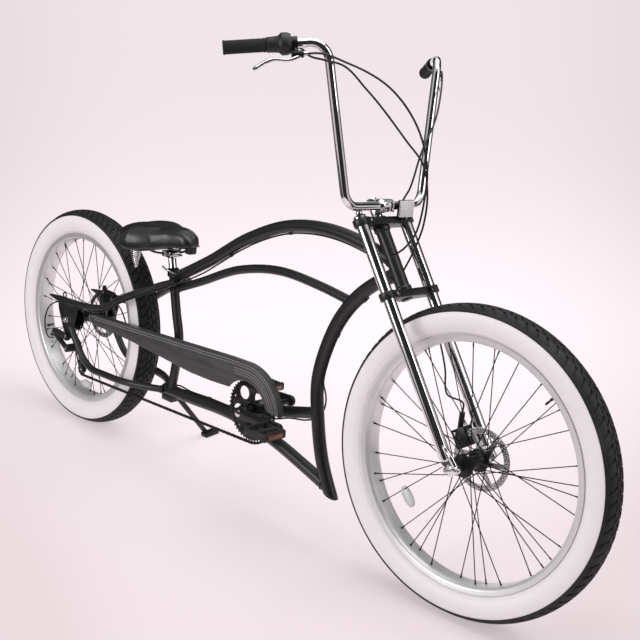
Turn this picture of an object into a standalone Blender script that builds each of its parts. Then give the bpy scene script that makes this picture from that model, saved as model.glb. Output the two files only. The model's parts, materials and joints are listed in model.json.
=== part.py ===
"""A stretched chopper bicycle, leaning on its side stand, as separate pieces on joint empties.

The bicycle is laid out upright and steered straight: X forward, Y to the rider's left, Z up, metres, with the
floor under the rear axle as the layout's zero. The last section turns the steering, leans the whole bicycle
on its stand and moves it so that the middle of its box, at floor level, is the origin.
"""

import math

import bmesh
import bpy
from mathutils import Matrix, Vector

# Stance
LEAN = math.radians(6.5)
STEER = math.radians(4.3)
TURNED_WHEEL_RISE = 0.0015

# Wheels and steering geometry
WHEELBASE = 1.64
FRONT_TYRE_RADIUS = 0.389
FRONT_TYRE_WIDTH = 0.082
FRONT_TYRE_HEIGHT = 0.072
FRONT_RIM_RADIUS = FRONT_TYRE_RADIUS - FRONT_TYRE_HEIGHT
FRONT_RIM_WIDTH = 0.060
REAR_TYRE_RADIUS = 0.3655
REAR_TYRE_WIDTH = 0.089
REAR_TYRE_HEIGHT = 0.077
REAR_RIM_RADIUS = REAR_TYRE_RADIUS - REAR_TYRE_HEIGHT
REAR_RIM_WIDTH = 0.066
RIM_DEPTH = 0.020
RIM_WALL = 0.0035
TREAD_THICKNESS = 0.006
WHEEL_SIDES = 44
SPOKES_PER_FLANGE = 18
SPOKE_RADIUS = 0.0011
HUB_FLANGE_RADIUS = 0.029
HUB_END_RADIUS = 0.012
FRONT_FLANGE_Y = 0.034
FRONT_HUB_HALF = 0.064
REAR_FLANGE_Y = 0.037
REAR_HUB_HALF = 0.0785
HEAD_ANGLE = math.radians(56.5)
FORK_TRAIL_OFFSET = 0.0133

# Fits
GAP = 0.0003
RUNNING_GAP = 0.0005

# Fork
LEG_SPACING = 0.0886
LEG_RADIUS = 0.0155
CROWN_ABOVE_TYRE = 0.0526
CROWN_SPREAD = 0.1936
LOWER_CROWN_HEIGHT = FRONT_TYRE_RADIUS + CROWN_ABOVE_TYRE
UPPER_CROWN_HEIGHT = LOWER_CROWN_HEIGHT + CROWN_SPREAD
CROWN_THICKNESS = 0.020
LEG_ABOVE_CROWN = 0.004
LEG_LUG_THICKNESS = 0.010
STEERER_RADIUS = 0.0143
HEAD_TUBE_RADIUS = 0.0215
AXLE_RADIUS = 0.005
ROTOR_RADIUS = 0.080
ROTOR_THICKNESS = 0.002
FRONT_ROTOR_Y = 0.0475
REAR_ROTOR_Y = 0.058
DISC_SLOT = 0.003

# Handlebar, measured from the middle of the upper crown in the fork's straight-ahead position
BAR_RADIUS = 0.0111
BAR_BASE_FROM_CROWN = Vector((0.0067, 0.0, 0.0471))
BAR_BASE_HALF = 0.150
BAR_TOP_FROM_CROWN = Vector((-0.0463, 0.222, 0.4251))
GRIP_END_FROM_CROWN = Vector((-0.2093, 0.396, 0.3841))
GRIP_RADIUS = 0.016
BAR_BEND_RADIUS = 0.045
STEM_CLAMP_HALF = 0.022
LEVER_SLOPE = -0.9
TWIST_GRIP_LENGTH = 0.100
PLAIN_GRIP_LENGTH = 0.130
SHIFTER_LENGTH = 0.058

# Frame, drawn for these places of the rear axle, the seat post's top and the head tube's middle
AXLE_DRAWN = Vector((0.0, 0.0, 0.3655))
POST_TOP_DRAWN = Vector((0.4431, 0.0, 0.6613))
HEAD_DRAWN = Vector((1.3318, 0.0, 0.8292))
REAR_END_X = 0.10
SEAT_END_X = 0.40
FRONT_START_X = 0.50
TOP_TUBE_RADIUS = 0.0172
DOWN_TUBE_RADIUS = 0.0185
MID_TUBE_RADIUS = 0.0127
SEAT_TUBE_RADIUS = 0.0143
BOOM_RADIUS = 0.0180
STRUT_RADIUS = 0.0165
STAY_RADIUS = 0.0112
DROPOUT_Y = 0.083
DROPOUT_THICKNESS = 0.006

# Drive
BRACKET_DRAWN = Vector((0.908, 0.0, 0.312))
BRACKET_SHELL_RADIUS = 0.024
BRACKET_SHELL_HALF = 0.036
CHAIN_Y = -0.056
CHAIN_WIDTH = 0.0065
CHAIN_PITCH = 0.0127
CHAIN_HEIGHT = 0.0085
CHAINRING_TEETH = 44
TOOTH_HEIGHT = 0.0045
CHAINRING_RADIUS = 0.0905
CHAINRING_THICKNESS = 0.0025
SPROCKET_RADIUS = 0.034
SPROCKET_STEP = 0.005
SPROCKET_THICKNESS = 0.0018
PULLEY_RADIUS = 0.0165
UPPER_PULLEY_DRAWN = Vector((0.022, 0.0, 0.272))
LOWER_PULLEY_DRAWN = Vector((0.058, 0.0, 0.203))
CHAIN_CLEARANCE = 0.0007
CRANK_LENGTH = 0.165
CRANK_Y = 0.100
CRANK_THICKNESS = 0.012
SPINDLE_RADIUS = 0.009
PEDAL_SPINDLE_RADIUS = 0.006
PEDAL_LENGTH = 0.088
PEDAL_WIDTH = 0.080
PEDAL_THICKNESS = 0.026
PEDAL_SPACE = 0.006
CHAINRING_HOLE_RADIUS = 0.0195
CHAINRING_HOLE_REACH = 0.0535
RING_BOSS_RADIUS = 0.022
CAGE_HALF = 0.0060
GUARD_OUTER_Y = -0.088
GUARD_DEPTH = 0.020
GUARD_WALL = 0.0025
GUARD_ARC_RADIUS = 0.143
GUARD_CUTOUT_RADIUS = 0.090
GUARD_REAR_X = 0.146
GUARD_FRONT_X = 0.700

# Seat
SEAT_POST_RADIUS = 0.0127
SEAT_POST_LENGTH = 0.034
SADDLE_REAR = 0.272
SADDLE_LENGTH = 0.290
SADDLE_WIDTH = 0.250
SADDLE_DRAWN_LENGTH = 0.290
SADDLE_DRAWN_WIDTH = 0.250

# Side stand
STAND_PIVOT_DRAWN = Vector((0.452, 0.034, 0.2105))
STAND_FOOT_DRAWN = Vector((0.411, 0.205, 0.0327))
STAND_AXIS = Vector((-0.259, 1.0, 0.35)).normalized()
STAND_RADIUS = 0.0085
STAND_PIN_RADIUS = 0.005
STAND_HEAD_HALF = 0.0085
STAND_HEAD_RADIUS = 0.0148

# Cables
CABLE_RADIUS = 0.0025

for leftover in list(bpy.data.objects):
    bpy.data.objects.remove(leftover, do_unlink=True)

bicycle_collection = bpy.data.collections.new("chopper_bicycle")
cutter_collection = bpy.data.collections.new("cutters")
bpy.context.scene.collection.children.link(bicycle_collection)
bpy.context.scene.collection.children.link(cutter_collection)


# Materials: base colour, roughness, metallic

FINISHES = {
    "black_paint": ((0.020, 0.020, 0.021), 0.45, 0.0),
    "chrome": ((0.80, 0.80, 0.82), 0.08, 1.0),
    "black_alloy": ((0.025, 0.025, 0.027), 0.35, 0.6),
    "rim_silver": ((0.62, 0.62, 0.63), 0.30, 0.9),
    "rotor_steel": ((0.55, 0.55, 0.56), 0.25, 1.0),
    "spoke_black": ((0.030, 0.030, 0.032), 0.40, 0.5),
    "tyre_black": ((0.022, 0.021, 0.022), 0.80, 0.0),
    "whitewall": ((0.83, 0.80, 0.80), 0.60, 0.0),
    "grip_rubber": ((0.025, 0.025, 0.026), 0.75, 0.0),
    "saddle_vinyl": ((0.016, 0.015, 0.016), 0.32, 0.0),
    "black_plastic": ((0.028, 0.028, 0.029), 0.50, 0.0),
    "guard_plastic": ((0.050, 0.050, 0.052), 0.55, 0.0),
    "chain_steel": ((0.10, 0.095, 0.09), 0.40, 0.9),
    "cable_housing": ((0.018, 0.018, 0.018), 0.50, 0.0),
}


def make_material(name):
    colour, roughness, metallic = FINISHES[name]
    material = bpy.data.materials.new(name)
    material.use_nodes = True
    shader = material.node_tree.nodes["Principled BSDF"]
    shader.inputs["Base Color"].default_value = (*colour, 1.0)
    shader.inputs["Roughness"].default_value = roughness
    shader.inputs["Metallic"].default_value = metallic
    return material


MATERIALS = {name: make_material(name) for name in FINISHES}


# Joint empties, each with its Z axis along the joint's axis. Pieces are laid out around the empty's
# straight, upright place, which design_place keeps, so the empty can turn afterwards.

design_place = {}


def make_pivot(name, centre, axis=(0, 0, 1), parent=None):
    empty = bpy.data.objects.new(name, None)
    empty.empty_display_size = 0.05
    bicycle_collection.objects.link(empty)
    turn = Vector((0, 0, 1)).rotation_difference(Vector(axis)).to_matrix().to_4x4()
    place = Matrix.Translation(Vector(centre)) @ turn
    design_place[name] = place
    if parent is None:
        empty.matrix_basis = place
    else:
        empty.parent = parent
        empty.matrix_parent_inverse = design_place[parent.name].inverted()
        empty.matrix_basis = place
    return empty


def hang(piece, name, finish, pivot):
    """Names a piece, gives it its finish and hangs it on its pivot where it was laid out."""
    piece.name = name
    piece.data.name = name
    piece.data.materials.clear()
    piece.data.materials.append(MATERIALS[finish])
    for collection in list(piece.users_collection):
        collection.objects.unlink(piece)
    bicycle_collection.objects.link(piece)
    piece.parent = pivot
    piece.matrix_parent_inverse = design_place[pivot.name].inverted()
    return piece


def as_cutter(piece):
    """Hides a shape that only cuts others."""
    for collection in list(piece.users_collection):
        collection.objects.unlink(piece)
    cutter_collection.objects.link(piece)
    piece.hide_render = True
    piece.display_type = "WIRE"
    return piece


def smooth_round(piece, angle=math.radians(35)):
    piece.data.shade_smooth()
    piece.data.set_sharp_from_angle(angle=angle)
    return piece


# Shape tools


def link_mesh(name, bm):
    mesh = bpy.data.meshes.new(name)
    bm.to_mesh(mesh)
    bm.free()
    piece = bpy.data.objects.new(name, mesh)
    bicycle_collection.objects.link(piece)
    return piece


def round_between(name, start, end, radius, sides=16, end_radius=None):
    """A straight rod or cone from one point to another."""
    start, end = Vector(start), Vector(end)
    bm = bmesh.new()
    bmesh.ops.create_cone(
        bm, cap_ends=True, segments=sides, radius1=radius,
        radius2=radius if end_radius is None else end_radius, depth=(end - start).length,
    )
    turn = Vector((0, 0, 1)).rotation_difference(end - start).to_matrix().to_4x4()
    bmesh.ops.transform(bm, matrix=Matrix.Translation((start + end) / 2) @ turn, verts=bm.verts)
    return link_mesh(name, bm)


def block(name, centre, size, turn=None):
    """A box with its own turn about its centre."""
    bm = bmesh.new()
    bmesh.ops.create_cube(bm, size=1.0)
    scale = Matrix.Diagonal((*size, 1.0))
    place = Matrix.Translation(Vector(centre)) @ (turn or Matrix.Identity(4)) @ scale
    bmesh.ops.transform(bm, matrix=place, verts=bm.verts)
    return link_mesh(name, bm)


def smooth_path(keys, per_span=2):
    """Points on a smooth curve through the keys, which may be unevenly spaced."""
    keys = [Vector(key) for key in keys]
    spans = [after - before for before, after in zip(keys, keys[1:])]
    slopes = [spans[0].normalized()]
    for span, following in zip(spans, spans[1:]):
        near, far = span.length, following.length
        slopes.append((span.normalized() * far + following.normalized() * near) / (near + far))
    slopes.append(spans[-1].normalized())
    path = []
    for index, span in enumerate(spans):
        reach = span.length
        for step in range(per_span):
            t = step / per_span
            path.append(
                keys[index] * (2 * t ** 3 - 3 * t ** 2 + 1) + keys[index + 1] * (3 * t ** 2 - 2 * t ** 3)
                + slopes[index] * reach * (t ** 3 - 2 * t ** 2 + t) + slopes[index + 1] * reach * (t ** 3 - t ** 2)
            )
    return path + [keys[-1]]


def rounded_path(corners, radius, steps=6):
    """Straight runs between corners, with an arc of the given radius at each inner corner."""
    corners = [Vector(corner) for corner in corners]
    path = [corners[0]]
    for before, corner, after in zip(corners, corners[1:], corners[2:]):
        inward, outward = (before - corner).normalized(), (after - corner).normalized()
        half_turn = inward.angle(outward) / 2
        reach = radius / math.tan(half_turn)
        start, end = corner + inward * reach, corner + outward * reach
        centre = corner + (inward + outward).normalized() * radius / math.sin(half_turn)
        for step in range(steps + 1):
            spoke = (start - centre).slerp(end - centre, step / steps)
            path.append(centre + spoke.normalized() * radius)
    return path + [corners[-1]]


def share(value, start, end):
    return min(max((value - start) / (end - start), 0.0), 1.0)


def on_frame(x, y, z):
    """Where a drawn point lies once the wheels and the head tube have their own sizes and places."""
    ahead = share(x, FRONT_START_X, HEAD_DRAWN.x)
    rear_rise = rear_axle.z - AXLE_DRAWN.z
    rear_step = Vector((rear_rise * share(x, REAR_END_X, SEAT_END_X), 0.0, rear_rise))
    return Vector((x, y, z)) + head_step * ahead + rear_step * (1.0 - ahead)


def placed(points):
    return [on_frame(*point) for point in points]


def outline_on_frame(points):
    """An outline drawn in X and Z, with each point where the frame has it."""
    return [(place.x, place.z) for place in (on_frame(x, 0.0, z) for x, z in points)]


def flat(points):
    """Drawn points in the bicycle's middle plane, given as X and Z."""
    return [on_frame(x, 0.0, z) for x, z in points]


def tube(name, path, radius, sides=12, scales=None):
    """A round tube along a path, as a curve with a bevel and filled caps."""
    data = bpy.data.curves.new(name, "CURVE")
    data.dimensions = "3D"
    data.fill_mode = "FULL"
    data.bevel_depth = radius
    data.bevel_resolution = (sides - 4) // 2
    data.use_fill_caps = True
    spline = data.splines.new("POLY")
    spline.points.add(len(path) - 1)
    for index, place in enumerate(path):
        spline.points[index].co = (*place, 1.0)
        spline.points[index].radius = 1.0 if scales is None else scales[index]
    piece = bpy.data.objects.new(name, data)
    bicycle_collection.objects.link(piece)
    return piece


def as_mesh(piece):
    """Turns a curve into a mesh with welded caps, so that it can be cut or joined."""
    bpy.context.view_layer.update()
    evaluated = piece.evaluated_get(bpy.context.evaluated_depsgraph_get())
    mesh = bpy.data.meshes.new_from_object(evaluated)
    bm = bmesh.new()
    bm.from_mesh(mesh)
    bmesh.ops.remove_doubles(bm, verts=bm.verts, dist=0.00001)
    bmesh.ops.recalc_face_normals(bm, faces=bm.faces)
    bm.to_mesh(mesh)
    bm.free()
    solid = bpy.data.objects.new(piece.name, mesh)
    bicycle_collection.objects.link(solid)
    solid.matrix_world = piece.matrix_world
    bpy.data.objects.remove(piece, do_unlink=True)
    return solid


def solid_tube(name, path, radius, sides=12, scales=None):
    return smooth_round(as_mesh(tube(name, path, radius, sides, scales)))


def tube_cutter(name, path, radius, sides=12):
    return as_cutter(as_mesh(tube(name + "_cutter", path, radius + GAP, sides)))


def shape_with(piece, other, operation):
    """Adds a Boolean whose second shape moves with the piece."""
    other.parent = piece.parent
    other.matrix_parent_inverse = piece.matrix_parent_inverse.copy()
    modifier = piece.modifiers.new(other.name, "BOOLEAN")
    modifier.operation = operation
    modifier.solver = "EXACT"
    modifier.object = other
    return piece


def cut(piece, cutter):
    return shape_with(piece, cutter, "DIFFERENCE")


def join(piece, other):
    """Welds another closed shape into a piece, which then is one body."""
    return shape_with(piece, as_cutter(other), "UNION")


def turned(name, profile, centre, axis=(0, 1, 0), sides=24):
    """A closed profile of (radius, height) points, turned about an axis through the centre."""
    mesh = bpy.data.meshes.new(name)
    count = len(profile)
    mesh.from_pydata(
        [(radius, 0.0, height) for radius, height in profile],
        [(index, (index + 1) % count) for index in range(count)], [],
    )
    piece = bpy.data.objects.new(name, mesh)
    bicycle_collection.objects.link(piece)
    screw = piece.modifiers.new("turn", "SCREW")
    screw.steps = sides
    screw.render_steps = sides
    screw.use_merge_vertices = True
    screw.merge_threshold = 0.00001
    screw.use_smooth_shade = False
    bpy.context.view_layer.update()
    evaluated = piece.evaluated_get(bpy.context.evaluated_depsgraph_get())
    solid_mesh = bpy.data.meshes.new_from_object(evaluated)
    turn = Vector((0, 0, 1)).rotation_difference(Vector(axis)).to_matrix().to_4x4()
    half_step = Matrix.Rotation(math.pi / sides, 4, "Z")
    solid_mesh.transform(Matrix.Translation(Vector(centre)) @ turn @ half_step)
    bm = bmesh.new()
    bm.from_mesh(solid_mesh)
    bmesh.ops.recalc_face_normals(bm, faces=bm.faces)
    bm.to_mesh(solid_mesh)
    bm.free()
    solid = bpy.data.objects.new(name, solid_mesh)
    bicycle_collection.objects.link(solid)
    bpy.data.objects.remove(piece, do_unlink=True)
    return smooth_round(solid)


def plate(name, outline, thickness, place, holes=()):
    """A flat outline of (x, y) points with holes, given its thickness and put in place by a matrix."""
    data = bpy.data.curves.new(name, "CURVE")
    data.dimensions = "2D"
    data.fill_mode = "BOTH"
    data.extrude = thickness / 2
    for loop in (outline, *holes):
        spline = data.splines.new("POLY")
        spline.points.add(len(loop) - 1)
        for point, (x, y) in zip(spline.points, loop):
            point.co = (x, y, 0.0, 1.0)
        spline.use_cyclic_u = True
    piece = bpy.data.objects.new(name, data)
    bicycle_collection.objects.link(piece)
    solid = as_mesh(piece)
    solid.data.transform(place)
    return solid


def circle(radius, sides, centre=(0.0, 0.0), start=0.0):
    return [
        (centre[0] + radius * math.cos(start + 2 * math.pi * step / sides),
         centre[1] + radius * math.sin(start + 2 * math.pi * step / sides))
        for step in range(sides)
    ]


def side_place(y):
    """Puts an outline drawn in (X, Z) into the bicycle's side view, at a distance from the middle plane."""
    return Matrix.Translation((0, y, 0)) @ Matrix.Rotation(math.pi / 2, 4, "X")


def steering_point(height, y=0.0, ahead=0.0):
    """A point at a height along the fork from the axle, and a distance ahead of the steering axis."""
    along = Vector((-math.cos(HEAD_ANGLE), 0.0, math.sin(HEAD_ANGLE)))
    forward = Vector((math.sin(HEAD_ANGLE), 0.0, math.cos(HEAD_ANGLE)))
    foot = front_axle - forward * FORK_TRAIL_OFFSET
    return foot + along * height + forward * ahead + Vector((0, y, 0))


front_axle = Vector((WHEELBASE, 0.0, FRONT_TYRE_RADIUS - TURNED_WHEEL_RISE))
rear_axle = Vector((0.0, 0.0, REAR_TYRE_RADIUS))
steering_axis = Vector((-math.cos(HEAD_ANGLE), 0.0, math.sin(HEAD_ANGLE)))
crown_place = Matrix((
    (math.sin(HEAD_ANGLE), 0.0, -math.cos(HEAD_ANGLE), 0.0),
    (0.0, 1.0, 0.0, 0.0),
    (math.cos(HEAD_ANGLE), 0.0, math.sin(HEAD_ANGLE), 0.0),
    (0.0, 0.0, 0.0, 1.0),
))

head_step = steering_point((LOWER_CROWN_HEIGHT + UPPER_CROWN_HEIGHT) / 2) - HEAD_DRAWN
bracket = on_frame(*BRACKET_DRAWN)
upper_pulley = on_frame(*UPPER_PULLEY_DRAWN)
lower_pulley = on_frame(*LOWER_PULLEY_DRAWN)
stand_pivot = on_frame(*STAND_PIVOT_DRAWN)
stand_foot = STAND_FOOT_DRAWN + Vector((stand_pivot.x - STAND_PIVOT_DRAWN.x, 0.0, 0.0))
bicycle = make_pivot("bicycle", (0, 0, 0))
steering = make_pivot("steering", steering_point(LOWER_CROWN_HEIGHT), steering_axis, bicycle)
front_wheel = make_pivot("front_wheel", front_axle, (0, 1, 0), steering)
rear_wheel = make_pivot("rear_wheel", rear_axle, (0, 1, 0), bicycle)
cranks = make_pivot("cranks", bracket, (0, 1, 0), bicycle)
right_pedal_centre = bracket + Vector((CRANK_LENGTH, 0.0, 0.006))
left_pedal_centre = bracket - Vector((CRANK_LENGTH, 0.0, 0.006))
pedal_pivots = {
    "right": make_pivot("right_pedal_spin", right_pedal_centre, (0, 1, 0), cranks),
    "left": make_pivot("left_pedal_spin", left_pedal_centre, (0, 1, 0), cranks),
}
stand = make_pivot("stand_pivot", stand_pivot, STAND_AXIS, bicycle)


# Frame: each tube runs along a smooth path in the middle plane, and is coped round its neighbours

seat_tube_path = smooth_path(
    flat([(0.450, 0.628), (0.478, 0.493), (0.4975, 0.410), (0.489, 0.330), (0.472, 0.239)]), 2)
boom_path = smooth_path(flat([
    (0.440, 0.2345), (0.566, 0.239), (0.757, 0.2465), (0.860, 0.240), (0.980, 0.218), (1.074, 0.192),
    (1.178, 0.161),
]), 2)
down_tube_path = smooth_path(flat([
    (1.3547, 0.797), (1.277, 0.752), (1.226, 0.709), (1.176, 0.646), (1.131, 0.550), (1.108, 0.449),
    (1.121, 0.337), (1.149, 0.229), (1.210, 0.107),
]), 2)
top_tube_path = smooth_path(flat([
    (0.457, 0.5955), (0.625, 0.684), (0.795, 0.785), (0.954, 0.847), (1.110, 0.864), (1.252, 0.846),
    (1.3375, 0.823),
]), 2)
mid_tube_path = smooth_path(flat([
    (0.463, 0.562), (0.584, 0.611), (0.761, 0.685), (0.927, 0.716), (1.086, 0.708), (1.214, 0.690),
]), 2)
strut_path = smooth_path([
    bracket + Vector((BRACKET_SHELL_RADIUS - 0.004, 0.0, 0.002)),
    *placed([(0.994, 0.0, 0.324), (1.049, 0.0, 0.338), (1.1185, 0.0, 0.357)]),
], 2)
head_tube_ends = (
    steering_point(LOWER_CROWN_HEIGHT + CROWN_THICKNESS / 2 + RUNNING_GAP),
    steering_point(UPPER_CROWN_HEIGHT - CROWN_THICKNESS / 2 - RUNNING_GAP),
)

head_tube_length = (head_tube_ends[1] - head_tube_ends[0]).length
cup_radius = HEAD_TUBE_RADIUS + 0.0025
cup_height = 0.010
head_bore = STEERER_RADIUS + RUNNING_GAP
head_tube = turned("head_tube", [
    (head_bore, 0.0), (cup_radius, 0.0), (cup_radius, cup_height), (HEAD_TUBE_RADIUS, cup_height + 0.004),
    (HEAD_TUBE_RADIUS, head_tube_length - cup_height - 0.004), (cup_radius, head_tube_length - cup_height),
    (cup_radius, head_tube_length), (head_bore, head_tube_length),
], head_tube_ends[0], steering_axis, 24)
hang(head_tube, "head_tube", "black_paint", bicycle)
head_tube_cutter = as_cutter(round_between(
    "head_tube_cutter", head_tube_ends[0], head_tube_ends[1], HEAD_TUBE_RADIUS + GAP, 24))

seat_tube_cutter = tube_cutter("seat_tube", seat_tube_path, SEAT_TUBE_RADIUS)
boom_cutter = tube_cutter("boom", boom_path, BOOM_RADIUS)
down_tube_cutter = tube_cutter("down_tube", down_tube_path, DOWN_TUBE_RADIUS)
top_tube_cutter = tube_cutter("top_tube", top_tube_path, TOP_TUBE_RADIUS)
mid_tube_cutter = tube_cutter("mid_tube", mid_tube_path, MID_TUBE_RADIUS)

# The down tube's lower end is cut along the underside of the boom, which leaves its pointed tip
tip_cutter = as_cutter(block(
    "tip_cutter", on_frame(1.181, 0.0, 0.103), (0.20, 0.08, 0.08),
    Matrix.Rotation(math.radians(16.3), 4, "Y")))

seat_tube = hang(solid_tube("seat_tube", seat_tube_path, SEAT_TUBE_RADIUS), "seat_tube", "black_paint", bicycle)
cut(seat_tube, boom_cutter)
boom = hang(solid_tube("boom", boom_path, BOOM_RADIUS), "boom", "black_paint", bicycle)
cut(boom, down_tube_cutter)
down_tube = hang(solid_tube("down_tube", down_tube_path, DOWN_TUBE_RADIUS), "down_tube", "black_paint", bicycle)
cut(cut(down_tube, head_tube_cutter), tip_cutter)
top_tube = hang(solid_tube("top_tube", top_tube_path, TOP_TUBE_RADIUS), "top_tube", "black_paint", bicycle)
cut(cut(cut(top_tube, head_tube_cutter), seat_tube_cutter), down_tube_cutter)
mid_tube = hang(solid_tube("mid_tube", mid_tube_path, MID_TUBE_RADIUS), "mid_tube", "black_paint", bicycle)
cut(cut(cut(mid_tube, seat_tube_cutter), down_tube_cutter), top_tube_cutter)
# Bottom bracket shell, with the post that carries it on the boom and the strut to the down tube
shell_bore = SPINDLE_RADIUS + 0.001
bracket_shell = turned("bracket_shell", [
    (shell_bore, -BRACKET_SHELL_HALF), (BRACKET_SHELL_RADIUS, -BRACKET_SHELL_HALF),
    (BRACKET_SHELL_RADIUS, BRACKET_SHELL_HALF), (shell_bore, BRACKET_SHELL_HALF),
], bracket, (0, 1, 0), 20)
hang(bracket_shell, "bottom_bracket", "black_paint", bicycle)
post_foot = bracket + Vector((-0.012, 0.0, -0.075))
shell_top = bracket + (post_foot - bracket).normalized() * (BRACKET_SHELL_RADIUS - 0.004)
join(bracket_shell, round_between("bracket_post", post_foot, shell_top, 0.014, 12))
join(bracket_shell, as_mesh(tube("bracket_strut", strut_path, STRUT_RADIUS)))
cut(cut(bracket_shell, boom_cutter), down_tube_cutter)

# Stays and dropouts, mirrored to both sides: columns are X, distance from the middle plane, Z

UPPER_STAY = (
    (-0.055, 0.083, 0.427), (0.068, 0.083, 0.432), (0.143, 0.083, 0.440), (0.210, 0.082, 0.455),
    (0.284, 0.0765, 0.497), (0.335, 0.068, 0.524), (0.404, 0.048, 0.556), (0.450, 0.0345, 0.577),
    (0.500, 0.0235, 0.595),
)
UPPER_STAY_TIP = ((-0.112, 0.083, 0.428), 0.35)
LOWER_STAY = (
    (0.020, 0.083, 0.342), (0.056, 0.083, 0.300), (0.098, 0.083, 0.256), (0.143, 0.083, 0.2335),
    (0.225, 0.083, 0.2325), (0.300, 0.078, 0.2335), (0.352, 0.066, 0.2345), (0.405, 0.042, 0.235),
    (0.450, 0.016, 0.235),
)
DROPOUT_OUTLINE = (
    (-0.058, 0.4240), (0.050, 0.4270), (0.052, 0.395), (0.034, 0.350), (0.022, 0.304), (-0.006, 0.302),
    (-0.030, 0.345), (-0.052, 0.392),
)



def stay_path(keys, sign):
    return smooth_path([on_frame(x, sign * y, z) for x, y, z in keys], 2)


for side, sign in (("right", -1.0), ("left", 1.0)):
    upper_path = stay_path(UPPER_STAY, sign)
    (tip_x, tip_y, tip_z), tip_scale = UPPER_STAY_TIP
    upper_path = [on_frame(tip_x, sign * tip_y, tip_z)] + upper_path
    upper_scales = [tip_scale] + [1.0] * (len(upper_path) - 1)
    lower_path = stay_path(LOWER_STAY, sign)
    stay = plate(
        "rear_stays", outline_on_frame(DROPOUT_OUTLINE), DROPOUT_THICKNESS, side_place(sign * DROPOUT_Y),
        [circle(AXLE_RADIUS + GAP, 12, (0.0, REAR_TYRE_RADIUS))])
    hang(stay, f"rear_stays_{side}", "black_paint", bicycle)
    join(stay, as_mesh(tube("upper_stay", upper_path, STAY_RADIUS, 10, upper_scales)))
    join(stay, as_mesh(tube("lower_stay", lower_path, STAY_RADIUS, 10)))
    for tube_shape in (seat_tube_cutter, mid_tube_cutter, top_tube_cutter, boom_cutter):
        cut(stay, tube_shape)


# Wheels


def build_wheel(name, pivot, centre, tyre_radius, tyre_width, rim_radius, rim_width,
                flange_y, hub_half, rotor_y):
    half = tyre_width / 2
    bead = rim_width / 2 - 0.001
    shoulder = tyre_radius - 0.017
    wall = [
        (rim_radius + GAP, bead), (rim_radius + 0.018, half - 0.0025), (rim_radius + 0.036, half),
        (shoulder, half - 0.004), (tyre_radius - TREAD_THICKNESS, 0.010),
    ]
    wall_profile = [(radius, -y) for radius, y in wall] + [(radius, y) for radius, y in reversed(wall)]
    casing = turned("tyre_wall", wall_profile[::-1], centre, (0, 1, 0), WHEEL_SIDES)
    hang(casing, f"{name}_whitewall", "whitewall", pivot)
    outer = [
        (shoulder + GAP, half - 0.003), (tyre_radius - 0.010, half - 0.010), (tyre_radius - 0.003, half - 0.021),
        (tyre_radius, 0.009),
    ]
    inner = [(shoulder + GAP, half - 0.0042), (tyre_radius - TREAD_THICKNESS + GAP, 0.010)]
    tread_profile = (
        [(radius, -y) for radius, y in outer] + [(radius, y) for radius, y in reversed(outer)]
        + [(radius, y) for radius, y in inner] + [(radius, -y) for radius, y in reversed(inner)]
    )
    tread = turned("tread", tread_profile[::-1], centre, (0, 1, 0), WHEEL_SIDES)
    hang(tread, f"{name}_tread", "tyre_black", pivot)

    flange = rim_width / 2
    floor = rim_radius - RIM_DEPTH
    rim_half = [(rim_radius, flange), (floor + 0.004, flange - 0.005), (floor, 0.010)]
    rim_inner = [
        (floor + RIM_WALL, 0.010), (floor + RIM_WALL + 0.004, flange - 0.008), (rim_radius, flange - 0.0035),
    ]
    rim_profile = (
        [(radius, y) for radius, y in rim_half] + [(radius, -y) for radius, y in reversed(rim_half)]
        + [(radius, -y) for radius, y in reversed(rim_inner)] + [(radius, y) for radius, y in rim_inner]
    )
    rim = turned("rim", rim_profile, centre, (0, 1, 0), WHEEL_SIDES)
    hang(rim, f"{name}_rim", "rim_silver", pivot)

    bore = AXLE_RADIUS + RUNNING_GAP
    barrel = 0.016
    boss_end = rotor_y - ROTOR_THICKNESS / 2 - GAP
    hub = turned("hub", [
        (bore, -hub_half), (HUB_END_RADIUS, -hub_half), (HUB_END_RADIUS, -flange_y - 0.005),
        (HUB_FLANGE_RADIUS, -flange_y - 0.003), (HUB_FLANGE_RADIUS, -flange_y + 0.002),
        (barrel + 0.002, -flange_y + 0.005), (barrel, 0.0), (barrel + 0.002, flange_y - 0.005),
        (HUB_FLANGE_RADIUS, flange_y - 0.002), (HUB_FLANGE_RADIUS, flange_y + 0.003),
        (0.021, flange_y + 0.005), (0.021, boss_end), (HUB_END_RADIUS, boss_end),
        (HUB_END_RADIUS, hub_half), (bore, hub_half),
    ][::-1], centre, (0, 1, 0), 16)
    hang(hub, f"{name}_hub_and_spokes", "spoke_black", pivot)
    flat_floor = floor * math.cos(math.pi / WHEEL_SIDES)
    join(hub, lace_spokes(name, centre, flange_y, HUB_FLANGE_RADIUS - 0.004, flat_floor - GAP - 0.0002))


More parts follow.
